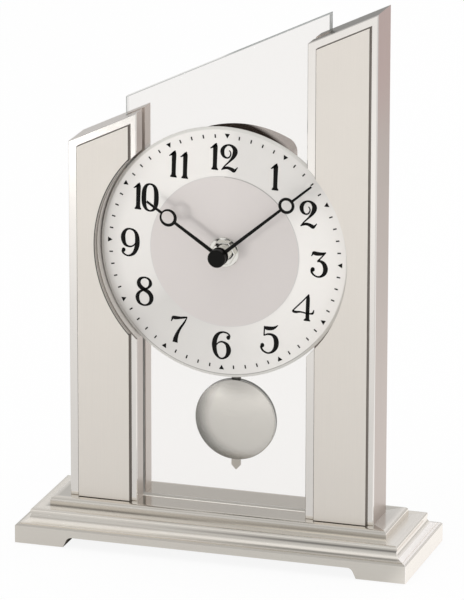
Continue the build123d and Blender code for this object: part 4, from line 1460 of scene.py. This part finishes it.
@dataclass
class Dial(SubAssembly):
    """The dial with its printed figures and marks, which are thin raised ink, the hands and their fixings."""

    shaft_height: float = 151.4
    dial_front: float = -7.8
    rim_radius: float = 61.55
    rim_drop: float = 0.5
    centre_radius: float = 37.65
    ink_height: float = 0.05
    ink_gain: float = 1.14
    fine_line: float = 0.24
    print_turn: float = 1.37
    spline_steps: int = 8
    dot_steps: int = 20
    marks_drop: float = 0.25
    triangle_radius: float = 58.4
    triangle_side: float = 2.6
    dash_inner: float = 57.2
    dash_outer: float = 59.0
    dash_width: float = 0.68
    tip_half_width: float = 0.05

    def finishes(self) -> dict[Finish, tuple[str, ...]]:
        """Turned white and grey for the dial with a painted sheen and painted shade, chrome for the fixings, black
        for the hands.

        Returns:
            The pieces of each finish.
        """
        white = DialPaint(
            "dial_white",
            shade("e4e1dd"),
            # Painted sheen: factors on the colour by clockwise angle
            sheen=(
                (0, 1.0), (8, 0.87), (50, 0.89), (68, 1.05), (98, 1.07), (140, 1.01), (188, 0.84), (228, 0.78),
                (250, 0.94), (320, 1.02), (360, 1.0),
            ),
            # Painted shade on the rim's bevel and in a line inside it
            rim_shade_colour=shade("cfcdc8"),
            shade_line_colour=shade("6b6863"),
            shaft_height=self.shaft_height,
            rim_radius=self.rim_radius,
            dial_drop=self.rim_drop,
        )
        grey = DialPaint(
            "dial_grey",
            shade("d0cac7"),
            # Painted sheen of the grey centre by clockwise angle
            sheen=((0, 1.03), (45, 0.99), (200, 0.98), (360, 1.03)),
            metallic=0.35,
            shade_line_colour=shade("8d8885"),
            shaft_height=self.shaft_height,
            rim_radius=self.centre_radius,
            # Part of the turn with the painted shade line on the grey centre's edge
            line_begin=(-0.02, 0.0),
            line_end=(0.12, 0.18),
            dial_drop=0.0,
            shade_depth=0.0,
        )
        return {
            white: ("dial_disc",),
            grey: ("dial_centre",),
            FIXING_CHROME: ("dial_washer", "dial_nut", "shaft_bush"),
            HAND_BLACK: ("hour_hand", "minute_hand", "hand_cap"),
        }

    def on_dial(self, flat: np.ndarray, raised: np.ndarray) -> np.ndarray:
        """Places flat points on the dial, turned by the small angle at which the print sits.

        Args:
            flat: Points across and up from the hand shaft.
            raised: Height of each point over the dial.

        Returns:
            Points in the frame, in millimetres.
        """
        angle = math.radians(-self.print_turn)
        x = flat[..., 0] * math.cos(angle) - flat[..., 1] * math.sin(angle)
        z = flat[..., 0] * math.sin(angle) + flat[..., 1] * math.cos(angle)
        return np.stack([x, self.dial_front - raised, z + self.shaft_height], -1)

    def spline(self, knots: np.ndarray, closed: bool) -> np.ndarray:
        """Smooth path through the knots: a Catmull-Rom cubic between each two, on places and half widths alike.

        Args:
            knots: Array of across, up and half width.
            closed: Whether the path ends where it begins.

        Returns:
            The same three values at close steps along the path.
        """
        before = knots[-2] if closed else 2 * knots[0] - knots[1]
        after = knots[1] if closed else 2 * knots[-1] - knots[-2]
        ends = np.vstack([before, knots, after])
        a, b, c, d = (ends[i : len(ends) - 3 + i, None] for i in range(4))
        t = np.linspace(0, 1, self.spline_steps, endpoint=False)[None, :, None]
        path = 0.5 * (2 * b + (c - a) * t + (2 * a - 5 * b + 4 * c - d) * t**2 + (3 * b - a - 3 * c + d) * t**3)
        path = path.reshape(-1, 3)
        return path if closed else np.vstack([path, knots[-1:]])

    def dot(self, knot: np.ndarray) -> np.ndarray:
        """Path across a round dot, with the half width of a circle at each step.

        Args:
            knot: Across, up and radius of the dot.

        Returns:
            Across, up and half width at close steps along the path.
        """
        turn = np.linspace(math.pi, 0, self.dot_steps)
        level = np.full_like(turn, knot[1])
        return np.stack([knot[0] + knot[2] * np.cos(turn), level, knot[2] * np.sin(turn)], -1)

    def stroke(self, knots: Stroke, across: float, up: float) -> Surface:
        """One pen stroke: a box section carried along the path, as wide as the pen at each step.

        Args:
            knots: Across, up and half width of each knot.
            across: Place of the figure to the right of the hand shaft.
            up: Place of the figure above the hand shaft.

        Returns:
            The closed surface.
        """
        rows = np.array(knots)
        closed = len(rows) > 2 and bool(np.allclose(rows[0], rows[-1]))
        path = self.dot(rows[0]) if len(rows) == 1 else self.spline(rows, closed)
        ahead = np.gradient(path[:, :2], axis=0)
        if closed:
            ahead = np.roll(path[:, :2], -1, 0) - np.roll(path[:, :2], 1, 0)
        ahead /= np.linalg.norm(ahead, axis=1, keepdims=True)
        side = np.stack([-ahead[:, 1], ahead[:, 0]], -1)
        width = np.hypot(path[:, 2:3] * self.ink_gain, self.fine_line)
        middle = path[:, :2] + np.array([across, up])
        left, right = middle + side * width, middle - side * width
        flat = np.stack([left, right, right, left], 1)
        raised = np.broadcast_to(np.array([0.0, 0.0, 1.0, 1.0]) * self.ink_height, flat.shape[:2])
        surface = Surface.grid(self.on_dial(flat, raised), closed, True)
        if closed:
            return surface.outward()
        last = len(surface.points) - 4
        caps = np.array([[3, 2, 1, 0], [last, last + 1, last + 2, last + 3]])
        return Surface(surface.points, np.concatenate([surface.faces, caps])).outward()

    def figures(self) -> Surface:
        """All the strokes of all the figures as one surface."""
        return Surface.joined(
            [self.stroke(knots, across, up) for across, up, strokes in FIGURES for knots in strokes]
        )

    def stamped(self, outline: np.ndarray, turns: np.ndarray) -> Surface:
        """A four-cornered mark, repeated round the dial and raised to the height of the ink.

        Args:
            outline: Four corners of the mark at twelve, against the clock.
            turns: Clockwise angle of each mark in degrees.

        Returns:
            One closed box for each mark.
        """
        angle = np.radians(-turns)[:, None]
        x = outline[:, 0] * np.cos(angle) - outline[:, 1] * np.sin(angle)
        z = outline[:, 0] * np.sin(angle) + outline[:, 1] * np.cos(angle)
        flat = np.stack([x, z - self.marks_drop], -1)
        low = self.on_dial(flat, np.zeros(x.shape))
        high = self.on_dial(flat, np.full(x.shape, self.ink_height))
        points = np.concatenate([low, high], 1)
        box = np.array(
            [[4, 5, 6, 7], [3, 2, 1, 0], [0, 1, 5, 4], [1, 2, 6, 5], [2, 3, 7, 6], [3, 0, 4, 7]]
        )
        starts = (np.arange(len(turns)) * 8)[:, None, None]
        return Surface(points.reshape(-1, 3), (box + starts).reshape(-1, 4)).outward()

    def hour_marks(self) -> Surface:
        """Small triangles that point at the middle, one for each hour.

        Returns:
            The triangles, each with its tip cut very narrow.
        """
        half = self.triangle_side / 2
        height = self.triangle_side * math.sqrt(3) / 2
        top = self.triangle_radius + height / 2
        low = self.triangle_radius - height / 2
        tip = self.tip_half_width
        outline = np.array([[-tip, low], [tip, low], [half, top], [-half, top]])
        return self.stamped(outline, np.arange(12) * 30.0)

    def minute_marks(self) -> Surface:
        """Short dashes for the minutes between the hours.

        Returns:
            The dashes.
        """
        half = self.dash_width / 2
        outline = np.array(
            [[-half, self.dash_inner], [half, self.dash_inner], [half, self.dash_outer], [-half, self.dash_outer]]
        )
        minutes = np.arange(60)
        return self.stamped(outline, minutes[minutes % 5 != 0] * 6.0)

    def build(self) -> None:
        """Makes the printed pieces and lets them ride on the case."""
        for name, surface, finish in (
            ("dial_figures", self.figures(), INK),
            ("hour_triangles", self.hour_marks(), INK),
            ("minute_dashes", self.minute_marks(), MARK_INK),
        ):
            surface.piece(name, "case", material_of(finish), False)


@dataclass
class Movement(SubAssembly):
    """The works: plates, wheels, motor, circuit board and battery."""

    wire: float = 0.35
    track_pitch: float = 1.27
    battery_band: float = 152.0

    def finishes(self) -> dict[Finish, tuple[str, ...]]:
        """Plastics for plates and wheels, metal for arbors and contacts, and the electric pieces' own finishes.

        Returns:
            The pieces of each finish.
        """
        return {
            PLATE_PLASTIC: ("movement_front_plate", "movement_back_plate", "motor_block"),
            KNOB_PLASTIC: ("setting_knob",),
            WHEEL_PLASTIC: ("centre_wheel", "hour_wheel", "minute_wheel", "third_wheel"),
            BRASS: ("minute_arbor", "setting_arbor"),
            STEEL: ("movement_pillars", "battery_contacts"),
            Winding("motor_winding", WIRE_COLOUR, wire=self.wire): ("motor_coil",),
            CircuitCard("circuit_card", shade("14452a"), pitch=self.track_pitch): ("circuit_board",),
            BatterySleeve("battery_sleeve", shade("4a4c50"), band_height=self.battery_band): ("battery",),
        }


@dataclass
class Housing(SubAssembly):
    """The case of the movement with its rear cover, the pin for the pendulum and the coil that drives it."""

    wire: float = 0.35
    near_from: Range = (5.4, 20.2)
    near_slope: float = 0.6

    def finishes(self) -> dict[Finish, tuple[str, ...]]:
        """Gloss for the case with a painted dark reflection on top near the glass, steel for the pin, wire for the
        coil.

        Returns:
            The pieces of each finish.
        """
        gloss = Paint(
            "housing_gloss",
            shade("c8bfb9"),
            roughness=0.25,
            metallic=0.8,
            speckle=0.03,
            texture=2.0,
            depth=0.002,
            specular=0.0,
            # Painted dark reflection on the near side of the top
            near_reflection_colour=shade("2a211c"),
            near_from=self.near_from,
            near_slope=self.near_slope,
        )
        return {
            gloss: ("housing", "rear_cover"),
            STEEL: ("pendulum_pin", "pin_clip"),
            Winding("drive_winding", WIRE_COLOUR, along_x=False, wire=self.wire): ("drive_coil",),
        }


@dataclass
class Pendulum(SubAssembly):
    """The pendulum: rod, magnet and bob, whose domed front is smooth where the frame has flat faces."""

    bob_height: float = 60.45
    bob_radius: float = 20.6
    bob_back: float = 11.4
    bob_rim: float = 1.5
    bob_crown: float = 1.8
    rim_round: float = 0.4
    rim_seam: float = 0.01
    rod_middle: float = 11.8
    # Heights of the painted shade on the rod's front
    dark_from: float = 80.5
    dark_to: float = 92.0
    rings: int = 28
    rim_steps: int = 7
    spokes: int = 160

    def bob_metal(self) -> BobMetal:
        """Finish of the bob.

        Returns:
            The finish.
        """
        return BobMetal(
            "bob_satin_metal",
            shade("efeeea"),
            roughness=0.17,
            contrast=0.04,
            fine=3.0,
            height=self.bob_height,
            bob_radius=self.bob_radius,
            back=self.bob_back,
        )

    def finishes(self) -> dict[Finish, tuple[str, ...]]:
        """Satin metal with painted shade for the rod and the bob, brass for the rivets, dark metal for the magnet.

        Returns:
            The pieces of each finish.
        """
        rod = RodMetal(
            "rod_satin_metal",
            shade("d2cec8"),
            roughness=0.3,
            grain=Grain.UPRIGHT,
            dark_from=self.dark_from,
            dark_to=self.dark_to,
            middle=self.rod_middle,
        )
        return {
            rod: ("pendulum_rod",),
            self.bob_metal(): ("bob_front", "bob_back"),
            BRASS: ("bob_rivets",),
            MAGNET: ("drive_magnet",),
        }

    def profile(self) -> tuple[np.ndarray, np.ndarray]:
        """Section of the bob's front: a shallow cap, a rounded rim, a wall and a flat back.

        The depth of the cap grows with the square of the radius, up to the crown at the rim.

        Returns:
            Radius and depth of each point from the middle of the cap round to the middle of the back.
        """
        flat = self.bob_radius - self.rim_round
        cap_radius = np.linspace(0.0, flat, self.rings)
        share = cap_radius / self.bob_radius
        cap_depth = self.bob_back - self.bob_rim - self.bob_crown * (1 - share**2)
        turn = np.linspace(0, math.pi / 2, self.rim_steps)[1:]
        rim_radius = flat + self.rim_round * np.sin(turn)
        rim_depth = cap_depth[-1] + self.rim_round * (1 - np.cos(turn))
        wall_radius = np.array([self.bob_radius, self.bob_radius, flat / 2, 0.0])
        wall_depth = np.array([rim_depth[-1] + self.rim_seam, self.bob_back, self.bob_back, self.bob_back])
        radius = np.concatenate([cap_radius, rim_radius, wall_radius])
        return radius, np.concatenate([cap_depth, rim_depth, wall_depth])

    def build(self) -> None:
        """Makes the bob's front: its section turned once round the middle of the bob."""
        radius, depth = self.profile()
        angle = np.linspace(0, 2 * math.pi, self.spokes, endpoint=False)
        x = radius[:, None] * np.cos(angle)
        z = radius[:, None] * np.sin(angle) + self.bob_height
        y = np.broadcast_to(depth[:, None], x.shape)
        surface = Surface.grid(np.stack([x, y, z], -1), False, True).outward()
        piece = surface.piece("bob_dome", "pendulum", material_of(self.bob_metal()), True)
        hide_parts("bob_front")


@dataclass
class Lamp:
    """One soft rectangular lamp."""

    name: str
    place: tuple[float, float, float]
    size: float
    power: float
    colour: Colour = (1.0, 1.0, 1.0)

    def build(self, target: tuple[float, float, float]) -> None:
        """Makes the lamp and turns it to the target.

        Args:
            target: Point in metres that the lamp shines at.
        """
        light = bpy.data.lights.new(self.name, "AREA")
        light.size = self.size
        light.energy = self.power
        light.color = self.colour
        lamp = bpy.data.objects.new(self.name, light)
        away = np.array(self.place) - np.array(target)
        lamp.location = self.place
        pan = math.atan2(away[0], -away[1])
        tilt = math.atan2(math.hypot(away[0], away[1]), away[2])
        lamp.rotation_euler = (tilt, 0.0, pan)
        lamp.visible_camera = False
        lamp.visible_glossy = False
        bpy.context.scene.collection.objects.link(lamp)


# A low key lamp from the left front, one overhead and one behind on the right
LAMPS = (
    Lamp("key_lamp", (-0.42, -0.72, 0.05), 0.16, 2.2, (1.0, 0.985, 0.965)),
    Lamp("top_lamp", (0.0, -0.3, 1.9), 1.4, 8.0),
    Lamp("rear_lamp", (0.75, 1.6, 0.6), 0.7, 4.0),
)
WHITE = (1.0, 1.0, 1.0, 1.0)
FLOOR_WHITE = (0.95, 0.95, 0.95, 1.0)


@dataclass
class Studio:
    """Pale floor, soft lamps, white surroundings and the camera at the photograph's view."""

    azimuth: float = 17.58
    elevation: float = 16.88
    roll: float = 0.09
    distance: float = 2.6863
    target: tuple[float, float, float] = (0.00141, 0.0, 0.12491)
    focal_pixels: float = 5518.8
    image_height: float = 600.0
    sensor: float = 36.0
    floor_half: float = 3.4
    floor_glow: float = 0.9
    floor_mirror_glow: float = 0.75
    floor_near: float = 0.76
    floor_front: float = 1.08
    floor_behind: float = 0.6
    fill: float = 0.8
    horizon: float = 0.52
    ceiling: float = 0.64
    right_glow: float = 0.25
    front_glow: float = 0.35
    floor_right: float = 0.35
    ceiling_range: Range = (0.0, 0.25)
    ahead_range: Range = (-0.8, -0.2)
    ahead_top_range: Range = (0.2, 0.6)
    right_range: Range = (0.25, 0.8)
    floor_front_range: Range = (-700.0, -60.0)
    floor_behind_range: Range = (100.0, 700.0)
    floor_right_range: Range = (85.0, 102.0)
    floor_right_fade: Range = (150.0, 400.0)
    lamp_target: tuple[float, float, float] = (0.0, 0.0, 0.13)

    @staticmethod
    def rays(board: Board) -> tuple[Val, Val]:
        """Which rays see the studio: those of the camera and of glass, and those of mirrors.

        Args:
            board: Nodes of the floor or the world.

        Returns:
            Two masks of 0 or 1; both are 0 for rays that only carry light.
        """
        path = board.node("ShaderNodeLightPath").outputs
        seen = board.math("MAXIMUM", Val(board, path["Is Camera Ray"]), Val(board, path["Is Transmission Ray"]))
        return seen, Val(board, path["Is Glossy Ray"]) * (1 - seen)

    def build_world(self) -> None:
        """White surroundings; mirrors see them darken towards the horizon, and they light the clock softly."""
        world = bpy.data.worlds.new("white_studio")
        world.use_nodes = True
        board = Board(world.node_tree)
        seen, mirrored = self.rays(board)
        right, behind, height = board.split(board.node("ShaderNodeTexCoord").outputs["Generated"])
        room = height.rise(*self.ceiling_range) * (self.ceiling - self.horizon) + self.horizon
        ahead = (1 - behind.rise(*self.ahead_range)) * (1 - height.rise(*self.ahead_top_range))
        room = room + right.rise(*self.right_range) * self.right_glow + ahead * self.front_glow
        strength = seen + mirrored * room + (1 - seen - mirrored) * self.fill
        sky = board.node("ShaderNodeBackground", None, {"Color": WHITE, "Strength": strength})
        board.output(sky.outputs[0], "ShaderNodeOutputWorld")
        bpy.context.scene.world = world

    def build_floor(self) -> None:
        """Pale floor that shows white and keeps part of the clock's shadow."""
        half = self.floor_half / MM
        side = np.linspace(-half, half, 3)
        x, y = np.meshgrid(side, side)
        surface = Surface.grid(np.stack([x, y, np.zeros_like(x)], -1), False, False)
        mesh = bpy.data.meshes.new("floor")
        mesh.from_pydata((surface.points * MM).tolist(), [], surface.faces[:, ::-1].tolist())
        floor = bpy.data.objects.new("floor", mesh)
        bpy.context.scene.collection.objects.link(floor)
        material = bpy.data.materials.new("pale_floor")
        material.use_nodes = True
        board = Board(material.node_tree)
        matt = board.node("ShaderNodeBsdfDiffuse", None, {"Color": FLOOR_WHITE})
        seen, mirrored = self.rays(board)
        across, depth, _ = board.place()
        front = (1 - depth.rise(*self.floor_front_range)) * (self.floor_front - self.floor_near)
        behind = depth.rise(*self.floor_behind_range) * (self.floor_behind - self.floor_near)
        beside = across.between(self.floor_right_range, self.floor_right_fade)
        strength = seen + mirrored * (front + behind + beside * self.floor_right + self.floor_near)
        glow = board.node("ShaderNodeEmission", None, {"Color": WHITE, "Strength": strength})
        share = seen * self.floor_glow + mirrored * self.floor_mirror_glow
        board.output(board.blend(share, matt.outputs[0], glow.outputs[0]))
        mesh.materials.append(material)

    def build_lamps(self) -> None:
        """Hangs the lamps and turns them to the clock."""
        for lamp in LAMPS:
            lamp.build(self.lamp_target)

    def build_camera(self) -> None:
        """Camera at the photograph's view: right, up and back vectors from its two angles and its roll."""
        a, e, roll = (math.radians(v) for v in (self.azimuth, self.elevation, self.roll))
        right = np.array([math.cos(a), math.sin(a), 0.0])
        ahead = np.array([-math.sin(a) * math.cos(e), math.cos(a) * math.cos(e), -math.sin(e)])
        up = np.cross(right, ahead)
        turned_right = right * math.cos(roll) + up * math.sin(roll)
        turned_up = up * math.cos(roll) - right * math.sin(roll)
        matrix = np.eye(4)
        matrix[:3, 0], matrix[:3, 1], matrix[:3, 2] = turned_right, turned_up, -ahead
        matrix[:3, 3] = np.array(self.target) - ahead * self.distance
        lens = bpy.data.cameras.new("camera")
        lens.sensor_fit = "AUTO"
        lens.sensor_width = self.sensor
        lens.lens = self.focal_pixels * self.sensor / self.image_height
        lens.clip_start = 0.1
        camera = bpy.data.objects.new("camera", lens)
        bpy.context.scene.collection.objects.link(camera)
        camera.matrix_world = matrix.T.tolist()
        bpy.context.scene.camera = camera

    def build(self) -> None:
        """Makes the whole studio."""
        self.build_world()
        self.build_floor()
        self.build_lamps()
        self.build_camera()
        bpy.context.scene.view_settings.view_transform = "Standard"
        LOG.info("studio: floor, %d lamps, surroundings and camera", len(LAMPS))


def main() -> None:
    """Dresses and builds the sub-assemblies in order and sets up the studio."""
    logging.basicConfig(level=logging.INFO, format="%(name)s %(message)s")
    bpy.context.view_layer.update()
    for assembly in (Base(), Columns(), GlassPane(), Dial(), Movement(), Housing(), Pendulum()):
        assembly.dress()
        assembly.build()
    Studio().build()


if __name__ == "__main__":
    main()
